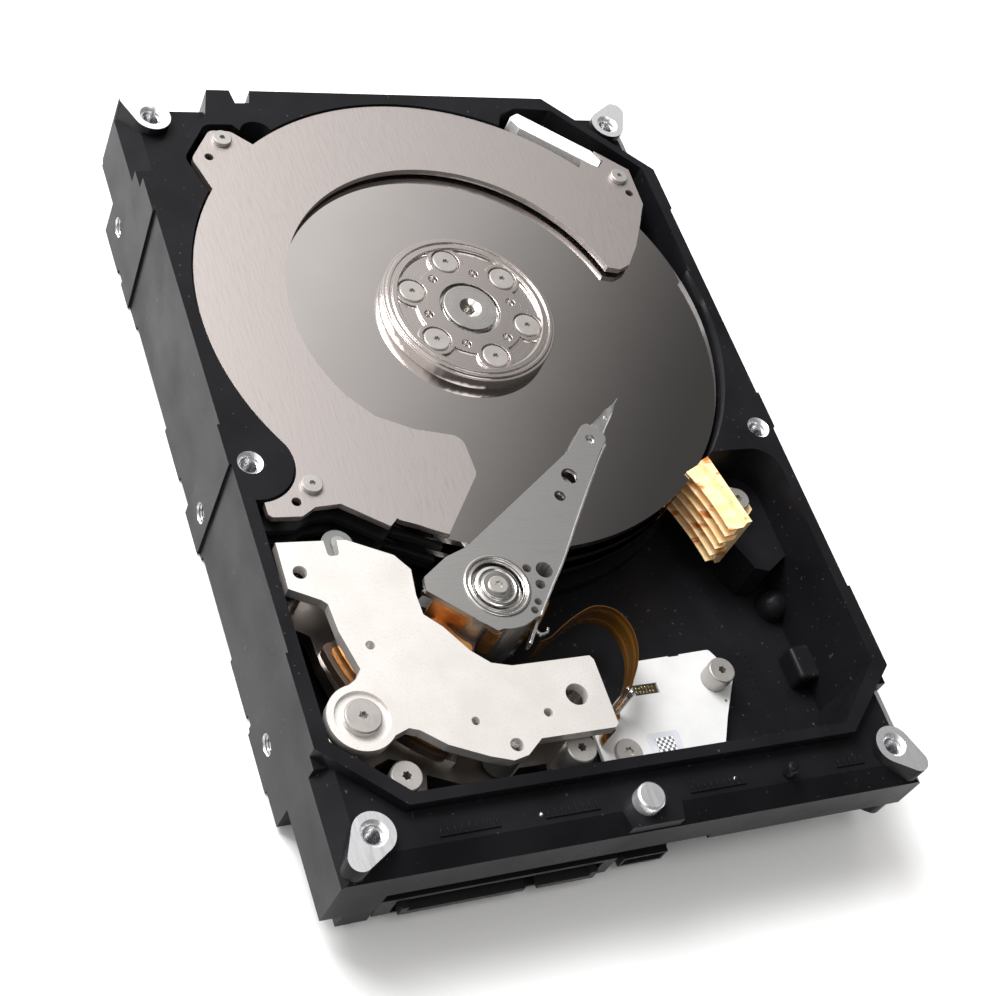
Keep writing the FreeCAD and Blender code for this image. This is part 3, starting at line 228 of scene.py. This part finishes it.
def casting_paint():
    shader = Shader("casting_paint", (0.007, 0.007, 0.008), 0.0, 0.34)
    shader.surface.inputs["IOR"].default_value = 1.2
    fine = shader.noise(2600.0, 4.0)
    broad = shader.noise(90.0, 3.0)
    specks = shader.noise(1500.0, 1.0, rough=0.2)
    shader.tint(broad, (0.010, 0.010, 0.0118))
    shader.tint(specks, (0.045, 0.045, 0.05), 0.77, 0.79)
    shader.vary_roughness(broad, 0.26, 0.42)
    shader.bump(fine, 0.008, 0.4)
    return shader.material


def bare_aluminium():
    shader = Shader("bare_aluminium", (0.90, 0.90, 0.92), 0.8, 0.3)
    lines = shader.noise(1500.0, 3.0, (1.0, 8.0, 1.0), turn=0.9)
    shader.vary_roughness(lines, 0.2, 0.36)
    shader.tint(lines, (0.74, 0.74, 0.76), 0.45, 0.75)
    shader.bump(lines, 0.003, 0.2)
    return shader.material


def machined_metal(name="machined_metal", colour=(0.72, 0.72, 0.72), roughness=0.28):
    shader = Shader(name, colour, 1.0, roughness)
    lines = shader.noise(900.0, 4.0, (1.0, 14.0, 1.0), turn=0.5)
    shader.vary_roughness(lines, roughness * 0.75, roughness * 1.35)
    shader.bump(lines, 0.01, 0.4)
    shader.tint(shader.noise(300.0), tuple(c * 0.8 for c in colour))
    return shader.material


def turned_metal(name, colour, roughness, cx, cy, scale=4000.0):
    shader = Shader(name, colour, 1.0, roughness)
    rings = shader.radial(cx, cy, scale, 3.0)
    shader.vary_roughness(rings, roughness * 0.7, roughness * 1.4)
    shader.bump(rings, 0.006, 0.35)
    shader.tint(shader.noise(250.0), tuple(c * 0.85 for c in colour))
    return shader.material


def platter_mirror():
    shader = Shader("platter_mirror", (0.60, 0.57, 0.555), 1.0, 0.05)
    smear = shader.noise(60.0, 2.0)
    shader.vary_roughness(smear, 0.035, 0.06)
    shader.tint(smear, (0.575, 0.545, 0.53))
    return shader.material


def damper_metal():
    shader = Shader("damper_metal", (0.545, 0.50, 0.485), 0.95, 0.4)
    grain = shader.noise(2000.0, 5.0, (1.0, 7.0, 1.0))
    fine = shader.noise(5200.0, 2.0)
    shader.vary_roughness(grain, 0.36, 0.5)
    shader.tint(grain, (0.41, 0.375, 0.36), 0.35, 0.75)
    shader.bump(grain, 0.014, 0.6)
    shader.bump(fine, 0.008, 0.4)
    return shader.material


def black_anodised():
    shader = Shader("black_anodised", (0.02, 0.02, 0.021), 0.3, 0.4)
    grain = shader.noise(2000.0, 4.0)
    shader.vary_roughness(grain, 0.33, 0.48)
    shader.bump(grain, 0.008, 0.4)
    return shader.material


def nickel_plate():
    shader = Shader("nickel_plate", (0.80, 0.765, 0.735), 0.6, 0.42)
    stipple = shader.noise(3200.0, 3.0, rough=0.6)
    broad = shader.noise(160.0, 3.0)
    shader.vary_roughness(stipple, 0.38, 0.48)
    shader.tint(broad, (0.73, 0.695, 0.665))
    shader.tint(stipple, (0.60, 0.57, 0.54), 0.5, 0.8)
    shader.bump(stipple, 0.008, 0.35)
    return shader.material


def arm_metal():
    shader = Shader("arm_metal", (0.46, 0.45, 0.44), 0.9, 0.36)
    lines = shader.noise(3600.0, 4.0, (12.0, 1.0, 1.0), turn=math.radians(-44.0))
    shader.vary_roughness(lines, 0.32, 0.4)
    shader.tint(lines, (0.38, 0.37, 0.365), 0.4, 0.75)
    shader.bump(lines, 0.003, 0.3)
    return shader.material


def polished_metal(name, colour=(0.78, 0.73, 0.70), roughness=0.12):
    shader = Shader(name, colour, 1.0, roughness)
    marks = shader.noise(350.0, 3.0)
    shader.vary_roughness(marks, roughness * 0.8, roughness * 1.25)
    shader.tint(shader.noise(200.0), tuple(c * 0.9 for c in colour))
    return shader.material


def matte_steel(name, colour):
    """Plated screw heads: flat faces with a soft, even sheen."""
    shader = Shader(name, colour, 0.75, 0.4)
    fine = shader.noise(2800.0, 2.0)
    shader.vary_roughness(fine, 0.36, 0.46)
    shader.tint(shader.noise(400.0), tuple(c * 0.9 for c in colour))
    return shader.material


def clamp_metal():
    shader = Shader("clamp_metal", (0.66, 0.61, 0.585), 1.0, 0.22)
    rings = shader.radial(*SPINDLE, 3200.0, 4.0)
    shader.vary_roughness(rings, 0.14, 0.3)
    shader.tint(rings, (0.58, 0.53, 0.51), 0.35, 0.7)
    shader.bump(rings, 0.006, 0.4)
    return shader.material


def moulded(name, colour, roughness=0.45, shade=0.8, specular=0.5):
    shader = Shader(name, colour, 0.0, roughness)
    shader.surface.inputs["Specular IOR Level"].default_value = specular
    fine = shader.noise(3000.0, 3.0)
    shader.vary_roughness(fine, roughness * 0.85, roughness * 1.2)
    shader.tint(shader.noise(220.0), tuple(c * shade for c in colour))
    shader.bump(fine, 0.012, 0.35)
    return shader.material


def ramp_plastic():
    """Pale amber polymer with paler noise patches, and orange-brown patches of painted shade that stand in
    for the shadow in its hollows.
    """
    shader = Shader("ramp_plastic", (0.95, 0.60, 0.27), 0.0, 0.42)
    shader.surface.inputs["Subsurface Weight"].default_value = 0.1
    shader.surface.inputs["Subsurface Radius"].default_value = (0.002, 0.001, 0.0004)
    fine = shader.noise(2500.0, 3.0)
    tone_and_shade_patches = shader.noise(420.0, 3.0, (2.6, 1.0, 1.0), turn=math.radians(-74.0))
    shader.tint(tone_and_shade_patches, (1.0, 0.74, 0.42), 0.3, 0.5)
    # painted shade: orange-brown patches that stand in for the shadow in the ramp's slots and hollows
    shader.tint(tone_and_shade_patches, (0.55, 0.18, 0.03), 0.56, 0.66)
    shader.vary_roughness(fine, 0.35, 0.5)
    shader.bump(fine, 0.015, 0.35)
    shader.bump(tone_and_shade_patches, 0.25, 0.5)
    return shader.material


def filter_felt():
    shader = Shader("filter_felt", (0.86, 0.86, 0.855), 0.0, 0.8)
    fibres = shader.noise(2600.0, 5.0, (5.0, 1.0, 1.0), turn=math.radians(37.5))
    shader.tint(fibres, (0.7, 0.7, 0.7), 0.45, 0.75)
    shader.bump(fibres, 0.05, 0.6)
    return shader.material


def copper_wire(name):
    shader = Shader(name, (0.80, 0.40, 0.15), 0.85, 0.33)
    turns = shader.noise(2600.0, 2.0, (14.0, 14.0, 1.0))
    shader.tint(shader.noise(400.0), (0.55, 0.24, 0.07))
    shader.vary_roughness(turns, 0.26, 0.45)
    shader.bump(turns, 0.03, 0.5)
    return shader.material


def polyimide():
    shader = Shader("polyimide", (0.13, 0.055, 0.008), 0.3, 0.22)
    shader.coat(0.7, 0.12)
    streaks = shader.noise(700.0, 1.0, (60.0, 60.0, 1.0))
    shader.tint(streaks, (0.30, 0.13, 0.02), 0.42, 0.6)
    shader.vary_roughness(streaks, 0.18, 0.32)
    shader.bump(streaks, 0.01, 0.3)
    return shader.material


def solder_mask():
    shader = Shader("solder_mask", (0.008, 0.075, 0.04), 0.0, 0.3)
    shader.coat(0.5, 0.15)
    tracks = shader.noise(700.0, 1.0, (6.0, 1.0, 1.0))
    across = shader.noise(700.0, 1.0, (1.0, 6.0, 1.0))
    shader.tint(tracks, (0.015, 0.13, 0.065), 0.5, 0.54)
    shader.tint(across, (0.014, 0.12, 0.06), 0.54, 0.57)
    shader.bump(tracks, 0.03, 0.3)
    return shader.material


def rubber(name, colour):
    shader = Shader(name, colour, 0.0, 0.6)
    fine = shader.noise(2200.0, 4.0)
    shader.vary_roughness(fine, 0.52, 0.7)
    shader.bump(fine, 0.02, 0.4)
    return shader.material


def label_pattern():
    """A plain checker of dark and pale cells."""
    shader = Shader("label_pattern", (0.80, 0.81, 0.83), 0.0, 0.5)
    cells = shader.tree.nodes.new("ShaderNodeTexChecker")
    cells.inputs["Scale"].default_value = 2000.0
    shader.link(shader.coords.outputs["Object"], cells.inputs["Vector"])
    shader.tint(cells.outputs["Fac"], (0.10, 0.10, 0.11), 0.4, 0.6)
    shader.vary_roughness(shader.noise(900.0, 1.0), 0.45, 0.6)
    return shader.material


def dress(names, material):
    for name in names:
        mesh = nodes[name].data
        mesh.materials.clear()
        mesh.materials.append(material)


def soften(names, width_mm):
    """Narrow rounded edges that catch the light, on CAD nodes whose shape is already right."""
    for name in names:
        weld = nodes[name].modifiers.new("weld", "WELD")
        weld.merge_threshold = 0.002 * MM
        edge = nodes[name].modifiers.new("edge", "BEVEL")
        edge.width = width_mm * MM
        edge.segments = 2
        edge.limit_method = "ANGLE"
        edge.angle_limit = math.radians(38.0)
        edge.use_clamp_overlap = True
        edge.harden_normals = True


# How far from each feature a face still counts as machined, in millimetres.
POST_MIN_X = 41.0
POST_MIN_Y = 64.0
COVER_HOLE_MOUTH = 2.2
SIDE_HOLE_MOUTH = 1.85
SIDE_MIN_X = 46.0
DATUM_REACH = 2.35
DATUM_FOOT = 20.9


def is_bare(centre, normal):
    """Machined faces of the casting: post tops, hole walls and the datum boss."""
    x, y, z = centre / MM
    if abs(z - POST_TOP) < 0.02 and normal.z > 0.9:
        return abs(x) > POST_MIN_X and abs(y) > POST_MIN_Y
    if any(math.hypot(x - hx, y - hy) < COVER_HOLE_MOUTH for hx, hy in POSTS + COVER_HOLES):
        return True
    if math.hypot(x - DATUM_BOSS[0], y - DATUM_BOSS[1]) < DATUM_REACH and z > DATUM_FOOT:
        return True
    if abs(x) <= SIDE_MIN_X:
        return False
    return any(math.hypot(y - hole, z - SIDE_HOLE_Z) < SIDE_HOLE_MOUTH for hole in SIDE_HOLE_YS)


def bare_casting_faces(material):
    mesh = nodes["base_casting"].data
    mesh.materials.append(material)
    for face in mesh.polygons:
        if is_bare(face.center, face.normal):
            face.material_index = 1


def dress_cad_nodes(amber):
    machined = machined_metal()
    steel = polished_metal("bright_steel", (0.70, 0.69, 0.67), 0.25)
    screw = matte_steel("screw_steel", (0.50, 0.475, 0.45))
    gold = polished_metal("contact_gold", (0.86, 0.62, 0.24), 0.22)
    black = moulded("black_plastic", (0.013, 0.013, 0.014), 0.42)
    dress(["base_casting"], casting_paint())
    bare_casting_faces(bare_aluminium())
    dress(["spindle_shaft"], turned_metal("shaft_steel", (0.72, 0.70, 0.68), 0.2, *SPINDLE))
    dress(["spindle_hub", "platter_spacers"], machined)
    dress(["platter_1", "platter_2", "platter_3"], platter_mirror())
    dress(["disk_clamp"], clamp_metal())
    dress(["clamp_screws", "damper_screws", "ramp_screw", "vcm_screws", "pivot_screw", "flex_bracket_screws",
           "board_screws"], screw)
    dress(["top_damper_plate"], damper_metal())
    dress(["middle_damper_plate", "lower_damper_plate", "damper_spacers"], black_anodised())
    dress(["recirculation_filter"], filter_felt())
    dress(["load_ramp"], ramp_plastic())
    nickel = nickel_plate()
    dress(["vcm_top_plate"], nickel)
    # painted shade: the bottom plate's colour is darkened to stand in for the shadow it lies in under the top
    # plate
    dress(["vcm_bottom_plate"], polished_metal("lower_yoke_painted_shade", (0.40, 0.36, 0.33), 0.35))
    dress(["vcm_top_magnet", "vcm_bottom_magnet", "rotor_magnet", "crash_stop_pins", "vcm_posts",
           "pivot_bearings", "stator_core", "flex_clip"], steel)
    dress(["outer_crash_stop", "inner_crash_stop"], rubber("stop_rubber", (0.16, 0.16, 0.16)))
    dress(["arm_block"], arm_metal())
    dress(["pivot_sleeve", "pivot_shaft"], turned_metal("pivot_steel", (0.66, 0.64, 0.62), 0.24, *PIVOT))
    dress(["head_sliders"], moulded("slider_ceramic", (0.05, 0.05, 0.055), 0.25))
    dress(["voice_coil", "stator_windings"], copper_wire("copper_wire"))
    dress(["coil_overmould"], moulded("mould_plastic", (0.06, 0.035, 0.022), 0.5))
    dress(["preamp_flex"], amber)
    dress(["flex_bracket"], moulded("bracket_white", (0.66, 0.66, 0.655), 0.45, 0.93))
    dress(["flex_connector", "sata_connector", "jumper_block"], black)
    soften(["base_casting"], 0.28)
    soften(["vcm_top_plate", "load_ramp", "flex_bracket", "recirculation_filter"], 0.3)
    soften(["top_damper_plate", "arm_block", "disk_clamp", "spindle_shaft", "vcm_bottom_plate"], 0.16)
    soften(["clamp_screws", "damper_screws", "ramp_screw", "vcm_screws", "flex_bracket_screws",
            "sata_connector", "coil_overmould", "voice_coil", "outer_crash_stop"], 0.12)
    dress(["circuit_board"], solder_mask())
    dress(["board_chips"], moulded("chip_black", (0.02, 0.02, 0.021), 0.5))
    dress(["spindle_contacts", "motor_lead_strip", "sata_contacts", "jumper_pins"], gold)


# ---- mesh helpers: plan outlines in millimetres ----------------------------------------------------------
def slab(grid, points, z0, z1):
    """A flat plate with an outline in plan."""
    low = [grid.verts.new((x * MM, y * MM, z0 * MM)) for x, y in points]
    high = [grid.verts.new((x * MM, y * MM, z1 * MM)) for x, y in points]
    grid.faces.new(list(reversed(low)))
    grid.faces.new(high)
    count = len(points)
    for k in range(count):
        following = (k + 1) % count
        grid.faces.new((low[k], low[following], high[following], high[k]))


def lathe(grid, origin, axis, profile, steps=48):
    """A closed profile of (radius, height) turned about an axis."""
    up = Vector(axis).normalized()
    side = up.orthogonal().normalized()
    across = up.cross(side)
    rings = []
    for k in range(steps):
        angle = 2 * math.pi * k / steps
        out = side * math.cos(angle) + across * math.sin(angle)
        rings.append([grid.verts.new((Vector(origin) + out * r + up * h) * MM) for r, h in profile])
    count = len(profile)
    for k in range(steps):
        here, there = rings[k], rings[(k + 1) % steps]
        for j in range(count):
            following = (j + 1) % count
            grid.faces.new((here[j], there[j], there[following], here[following]))


def smooth_route(points, steps):
    """Points along a Catmull-Rom curve through the given plan points."""
    ends = [Vector(points[0]) * 2 - Vector(points[1])] + [Vector(p) for p in points]
    ends.append(Vector(points[-1]) * 2 - Vector(points[-2]))
    route = []
    for k in range(1, len(ends) - 2):
        a, b, c, d = ends[k - 1:k + 3]
        for j in range(steps):
            t = j / steps
            route.append(0.5 * (2 * b + (c - a) * t + (2 * a - 5 * b + 4 * c - d) * t * t
                                + (3 * b - a - 3 * c + d) * t ** 3))
    route.append(Vector(points[-1]))
    return route


def ribbon(grid, route, thick, z0, z1):
    """A strip standing on edge along a plan route."""
    left, right = [], []
    for k, point in enumerate(route):
        ahead = (route[min(k + 1, len(route) - 1)] - route[max(k - 1, 0)]).normalized()
        across = Vector((-ahead.y, ahead.x)) * thick / 2
        left.append(point + across)
        right.append(point - across)
    slab_points = [(p.x, p.y) for p in left + list(reversed(right))]
    count = len(left)
    low = [grid.verts.new((x * MM, y * MM, z0 * MM)) for x, y in slab_points]
    high = [grid.verts.new((x * MM, y * MM, z1 * MM)) for x, y in slab_points]
    total = 2 * count
    for k in range(total):
        following = (k + 1) % total
        grid.faces.new((low[k], low[following], high[following], high[k]))
    for k in range(count - 1):
        j = total - 1 - k
        grid.faces.new((high[k], high[k + 1], high[j - 1], high[j]))
        grid.faces.new((low[j], low[j - 1], low[k + 1], low[k]))


def piece(name, material, build, edge_mm=0.0, replaced=()):
    """A detailed piece made by build(grid); the caller says which body it moves with."""
    mesh = bpy.data.meshes.new(name)
    grid = bmesh.new()
    build(grid)
    bmesh.ops.recalc_face_normals(grid, faces=grid.faces)
    grid.to_mesh(mesh)
    grid.free()
    for face in mesh.polygons:
        face.use_smooth = True
    mesh.set_sharp_from_angle(angle=math.radians(35.0))
    made = bpy.data.objects.new(name, mesh)
    bpy.context.scene.collection.objects.link(made)
    mesh.materials.append(material)
    if edge_mm:
        edge = made.modifiers.new("edge", "BEVEL")
        edge.width = edge_mm * MM
        edge.segments = 2
        edge.limit_method = "ANGLE"
        edge.angle_limit = math.radians(35.0)
    if replaced:
        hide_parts(*replaced)
    return made


# ---- pieces ------------------------------------------------------------------------------------------------
PLATTER_TOPS = (21.1, 17.2, 13.3)
PLATTER_THICK = 1.27
HEAD_GAP = 0.55
BEAM_THICK = 0.2


def on_arm(along, across):
    """A plan point in the arm's own axes."""
    return (PIVOT[0] + along * math.cos(ARM_HEADING) - across * math.sin(ARM_HEADING),
            PIVOT[1] + along * math.sin(ARM_HEADING) + across * math.cos(ARM_HEADING))


def arm_slab(grid, outline, z0, z1):
    slab(grid, [on_arm(along, across) for along, across in outline], z0, z1)


def beam_levels():
    levels = []
    for top in PLATTER_TOPS:
        levels.append(top + HEAD_GAP)
        levels.append(top - PLATTER_THICK - HEAD_GAP - BEAM_THICK)
    return levels


BEAM_OUTLINE = [(40.2, 1.25), (41.4, 1.35), (43.2, 1.0), (46.4, 0.72), (46.9, 0.5), (47.6, 0.38),
                (48.3, 0.16), (50.2, 0.08)]
HINGE_OUTLINE = [(36.5, 1.9), (37.2, 2.3), (37.7, 2.05), (38.2, 2.45), (39.0, 2.6), (39.7, 2.3), (40.6, 1.9),
                 (41.2, 1.2)]


def mirrored(outline):
    return outline + [(along, -across) for along, across in reversed(outline)]


def build_beams(grid):
    for z in beam_levels():
        arm_slab(grid, mirrored(BEAM_OUTLINE), z, z + 0.1)
        arm_slab(grid, mirrored(HINGE_OUTLINE), z + 0.1, z + 0.2)
        for side in (-1, 1):
            flange = [(41.4, side * 1.2), (46.2, side * 0.68), (46.2, side * 0.58), (41.4, side * 1.08)]
            arm_slab(grid, flange, z + 0.1, z + 0.32)
        arm_slab(grid, [(47.0, 0.06), (50.2, 0.05), (50.2, -0.05), (47.0, -0.06)], z + 0.1, z + 0.2)
        place = on_arm(44.6, 0.0)
        dimple = [(0.12, 0.0), (0.42, 0.0), (0.34, 0.12), (0.16, 0.14)]
        lathe(grid, (place[0], place[1], z + 0.1), (0, 0, 1), dimple, 20)


def build_gold_pads(grid):
    z = PLATTER_TOPS[0] + HEAD_GAP + BEAM_THICK
    for side in (-1, 1):
        arm_slab(grid, [(38.3, side * 1.25), (39.5, side * 1.15), (39.6, side * 1.9), (38.4, side * 2.05)],
                 z, z + 0.06)
        arm_slab(grid, [(39.9, side * 0.5), (40.5, side * 0.5), (40.5, side * 1.1), (39.9, side * 1.2)],
                 z, z + 0.05)


def build_pivot_face(grid):
    """The turned sleeve: a bright land, a groove, a second land and the bearing's shield."""
    profile = [(4.2, 7.6), (5.6, 7.6), (5.6, 23.0), (5.45, 23.12), (5.05, 23.12), (4.95, 22.85), (4.7, 22.85),
               (4.6, 23.02), (4.3, 23.02), (4.2, 22.8)]
    lathe(grid, (PIVOT[0], PIVOT[1], 0), (0, 0, 1), profile, 72)


def build_pivot_cap(grid):
    """The fixed shaft, its shield and the head of its screw."""
    profile = [(1.2, 7.2), (2.4, 7.2), (2.4, 22.4), (3.6, 22.4), (3.75, 22.5), (3.75, 22.75), (3.55, 22.9),
               (3.1, 22.95), (2.95, 22.8), (2.6, 22.8), (2.45, 23.08), (1.7, 23.1), (1.2, 23.1)]
    lathe(grid, (PIVOT[0], PIVOT[1], 0), (0, 0, 1), profile, 72)


def build_hole_threads(grid):
    """Fine rings inside each tapped hole, where the thread shows."""
    pitch = 0.45
    crest, root = 0.26, 0.12

    def thread(origin, axis, outer, start, turns):
        profile = [(outer, start), (outer, start - pitch * turns)]
        for k in range(2 * turns, -1, -1):
            depth = root if k % 2 else crest
            profile.append((outer - depth, start - pitch / 2 * k))
        lathe(grid, origin, axis, profile, 28)
    for x, y in POSTS:
        thread((x, y, POST_TOP), (0, 0, 1), 1.5, -1.1, 9)
    for x, y in COVER_HOLES:
        thread((x, y, RIM_TOP), (0, 0, 1), 1.5, -1.1, 9)
    for side in (-1, 1):
        for y in SIDE_HOLE_YS:
            thread((side * HALF_WIDTH, y, SIDE_HOLE_Z), (side, 0, 0), 1.75, -0.3, 8)


def build_ledge_marks(grid):
    """Rows of fine ticks cast into the near ledge."""
    tick_top = LEDGE_TOP + 0.3
    for x0, x1, count in ((-35.5, -25.6, 9), (-18.3, -9.0, 8), (6.8, 17.0, 9), (34.4, 39.8, 5)):
        slab(grid, [(x0, -69.5), (x1, -69.5), (x1, -69.25), (x0, -69.25)], LEDGE_TOP, tick_top)
        for k in range(count):
            x = x0 + 0.4 + (x1 - x0 - 1.0) * k / (count - 1)
            slab(grid, [(x, -69.3), (x + 0.28, -69.3), (x + 0.28, -68.2), (x, -68.2)], LEDGE_TOP, tick_top)


def build_ledge_dots(grid):
    """Two small bright domes on the near ledge."""
    dome = [(0.02, 0.0), (0.42, 0.0), (0.34, 0.16), (0.16, 0.26), (0.02, 0.28)]
    for x, y in ((-18.7, -68.7), (15.5, -68.3)):
        lathe(grid, (x, y, 20.78), (0, 0, 1), dome, 20)


def build_floor_dots(grid):
    """Small raised dots in two rows on the bay floor."""
    for row in range(2):
        for k in range(8):
            lathe(grid, (37.0 + 1.3 * row, -38.0 - 1.25 * k, 4.98), (0, 0, 1),
                  [(0.02, 0.0), (0.26, 0.0), (0.2, 0.12), (0.02, 0.16)], 10)


FLEX_ROUTE = [(-5.9, -38.6), (-3.6, -37.9), (-0.6, -36.1), (2.6, -34.5), (6.2, -33.4), (9.6, -34.6),
              (11.2, -37.8), (11.0, -41.4), (9.6, -44.8), (7.7, -47.5), (7.0, -48.6)]


def build_flex(grid):
    ribbon(grid, smooth_route(FLEX_ROUTE, 10), 0.14, 10.8, 16.2)


def build_flex_tail(grid):
    """The end of the ribbon, folded flat under the clip and on to the plug."""
    slab(grid, [(5.4, -50.6), (8.6, -49.6), (8.9, -48.6), (6.0, -48.2)], BRACKET_TOP, 7.2)
    ribbon(grid, smooth_route([(7.0, -48.6), (5.2, -50.0), (3.6, -52.4), (3.4, -54.0)], 8), 0.16, 7.2, 12.8)


def build_clip(grid):
    """A folded steel clip with a rounded top that holds the ribbon upright."""
    fold = [(7.9, -49.2), (8.3, -48.4), (7.8, -47.7), (7.1, -47.9)]
    ribbon(grid, smooth_route(fold, 6), 0.25, BRACKET_TOP, 14.6)
    cap = [(0.05, 0.0), (0.75, 0.0), (0.68, 0.3), (0.4, 0.5), (0.05, 0.55)]
    lathe(grid, (7.7, -48.4, 14.5), (0, 0, 1), cap, 20)


def build_arm_trace(grid):
    """The thin steel trace that runs down the arm's right edge and ends in a hook over the coil lead."""
    edge = [on_arm(38.2, -2.5), (12.6, -10.4), (5.4, -20.0), (-0.6, -28.2), (-4.2, -32.6), (-8.0, -37.4)]
    ribbon(grid, smooth_route(edge, 6), 0.34, 22.3, 23.05)
    hook = [(-8.0, -37.4), (-8.8, -38.6), (-8.3, -39.7), (-7.1, -39.6), (-6.6, -38.8)]
    ribbon(grid, smooth_route(hook, 6), 0.4, 20.6, 21.2)
    ribbon(grid, smooth_route([(-8.0, -37.4), (-9.4, -39.4), (-10.8, -41.4)], 6), 0.5, 19.6, 21.6)


def build_coil_former(grid):
    """The pale bobbin edge that shows between the inner turns of the winding."""
    out = Vector((math.cos(COIL_HEADING), math.sin(COIL_HEADING)))
    across = Vector((-out.y, out.x))
    middle = Vector(PIVOT)
    outline = []
    for reach, half in ((10.9, 4.6), (12.2, 5.2)):
        row = [middle + out * reach + across * half * t for t in (-1, -0.5, 0, 0.5, 1)]
        outline.append([(p.x, p.y) for p in row])
    slab(grid, outline[0] + list(reversed(outline[1])), 17.9, 18.25)


def build_inner_turns(grid):
    """The upright face of the winding where it comes up under the crown's edge."""
    edge = Vector((0.754, -0.657))
    out = Vector((-0.657, -0.754))
    middle = Vector(PIVOT)
    corners = [(6.4, -7.4), (7.3, -8.0), (7.4, -6.0), (7.4, 3.0), (6.9, 4.0), (6.4, 4.0)]
    points = [middle + out * reach + edge * along for reach, along in corners]
    slab(grid, [(p.x, p.y) for p in points], 15.3, 21.85)


def build_label_cells(grid):
    slab(grid, [(13.4, -54.0), (16.8, -54.0), (16.8, -57.4), (13.4, -57.4)], 7.05, 7.08)


def build_label_stock(grid):
    slab(grid, [(12.4, -53.0), (17.8, -53.0), (18.2, -53.5), (18.2, -59.6), (17.8, -60.0), (12.4, -60.0),
                (12.0, -59.6), (12.0, -53.5)], BRACKET_TOP, 7.05)


def build_plug_well(grid):
    """The dark well of the plug."""
    slab(grid, [(13.3, -45.9), (17.7, -45.9), (17.7, -44.2), (13.3, -44.2)], 6.62, 6.68)


def build_plug_pads(grid):
    """Two rows of gold pads in the plug's well."""
    for row in range(2):
        for k in range(6):
            x = 13.7 + 0.62 * k
            y = -45.6 + 0.75 * row
            slab(grid, [(x, y), (x + 0.34, y), (x + 0.34, y + 0.5), (x, y + 0.5)], 6.68, 6.76)


def build_test_pads(grid):
    """Rows of round test pads on the outer face of the board."""
    for row in range(6):
        for k in range(11):
            x, y = -33.0 + 6.3 * k + 1.4 * (row % 2), -16.0 - 7.4 * row
            lathe(grid, (x, y, 0.84), (0, 0, 1), [(0.2, 0.0), (0.62, 0.0), (0.62, 0.06), (0.2, 0.06)], 16)


def add_pieces(amber):
    steel = polished_metal("beam_steel", (0.86, 0.85, 0.83), 0.24)
    gold = polished_metal("pad_gold", (0.90, 0.66, 0.26), 0.22)
    turned_steel = turned_metal("pivot_steel", (0.70, 0.68, 0.66), 0.18, *PIVOT)
    thread = polished_metal("thread_metal", (0.50, 0.50, 0.51), 0.25)
    paint = casting_paint()
    cream = moulded("former_cream", (0.80, 0.68, 0.52), 0.45)
    black = moulded("well_black", (0.02, 0.02, 0.02), 0.5)

    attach(piece("load_beams", steel, build_beams, 0.0, ("suspensions",)), "actuator")
    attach(piece("head_pads", gold, build_gold_pads), "actuator")
    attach(piece("pivot_sleeve_face", turned_steel, build_pivot_face, 0.05,
                  ("pivot_sleeve",)), "actuator")
    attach(piece("pivot_cap", turned_steel, build_pivot_cap, 0.05, ("pivot_shaft",)), "base")
    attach(piece("hole_threads", thread, build_hole_threads), "base")
    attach(piece("ledge_marks", paint, build_ledge_marks, 0.05), "base")
    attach(piece("ledge_dots", thread, build_ledge_dots), "base")
    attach(piece("floor_dots", paint, build_floor_dots), "base")
    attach(piece("arm_trace", steel, build_arm_trace, 0.05), "actuator")
    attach(piece("coil_former", cream, build_coil_former, 0.1), "actuator")
    stock = moulded("label_stock", (0.62, 0.63, 0.67), 0.55)
    copper = copper_wire("copper_turns")
    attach(piece("inner_turns", copper, build_inner_turns, 0.25), "actuator")
    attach(piece("label_stock", stock, build_label_stock), "base")
    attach(piece("label_cells", label_pattern(), build_label_cells), "base")
    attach(piece("plug_well", black, build_plug_well), "base")
    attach(piece("plug_pads", gold, build_plug_pads, 0.03), "base")
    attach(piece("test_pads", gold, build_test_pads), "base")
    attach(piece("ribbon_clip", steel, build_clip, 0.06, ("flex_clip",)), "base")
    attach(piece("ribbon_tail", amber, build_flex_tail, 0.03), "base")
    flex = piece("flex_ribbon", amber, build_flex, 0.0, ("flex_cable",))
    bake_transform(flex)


add_camera()
add_world()
add_light("key", (-0.35, 0.45, 0.75), (0, 0, 0.01), (0.5, 0.5), 12.0)
add_light("top", (0.10, -0.25, 0.80), (0, -0.02, 0.01), (0.35, 0.35), 1.0)
add_floor()
amber_film = polyimide()
dress_cad_nodes(amber_film)
add_pieces(amber_film)
bpy.context.scene.view_settings.view_transform = "Standard"
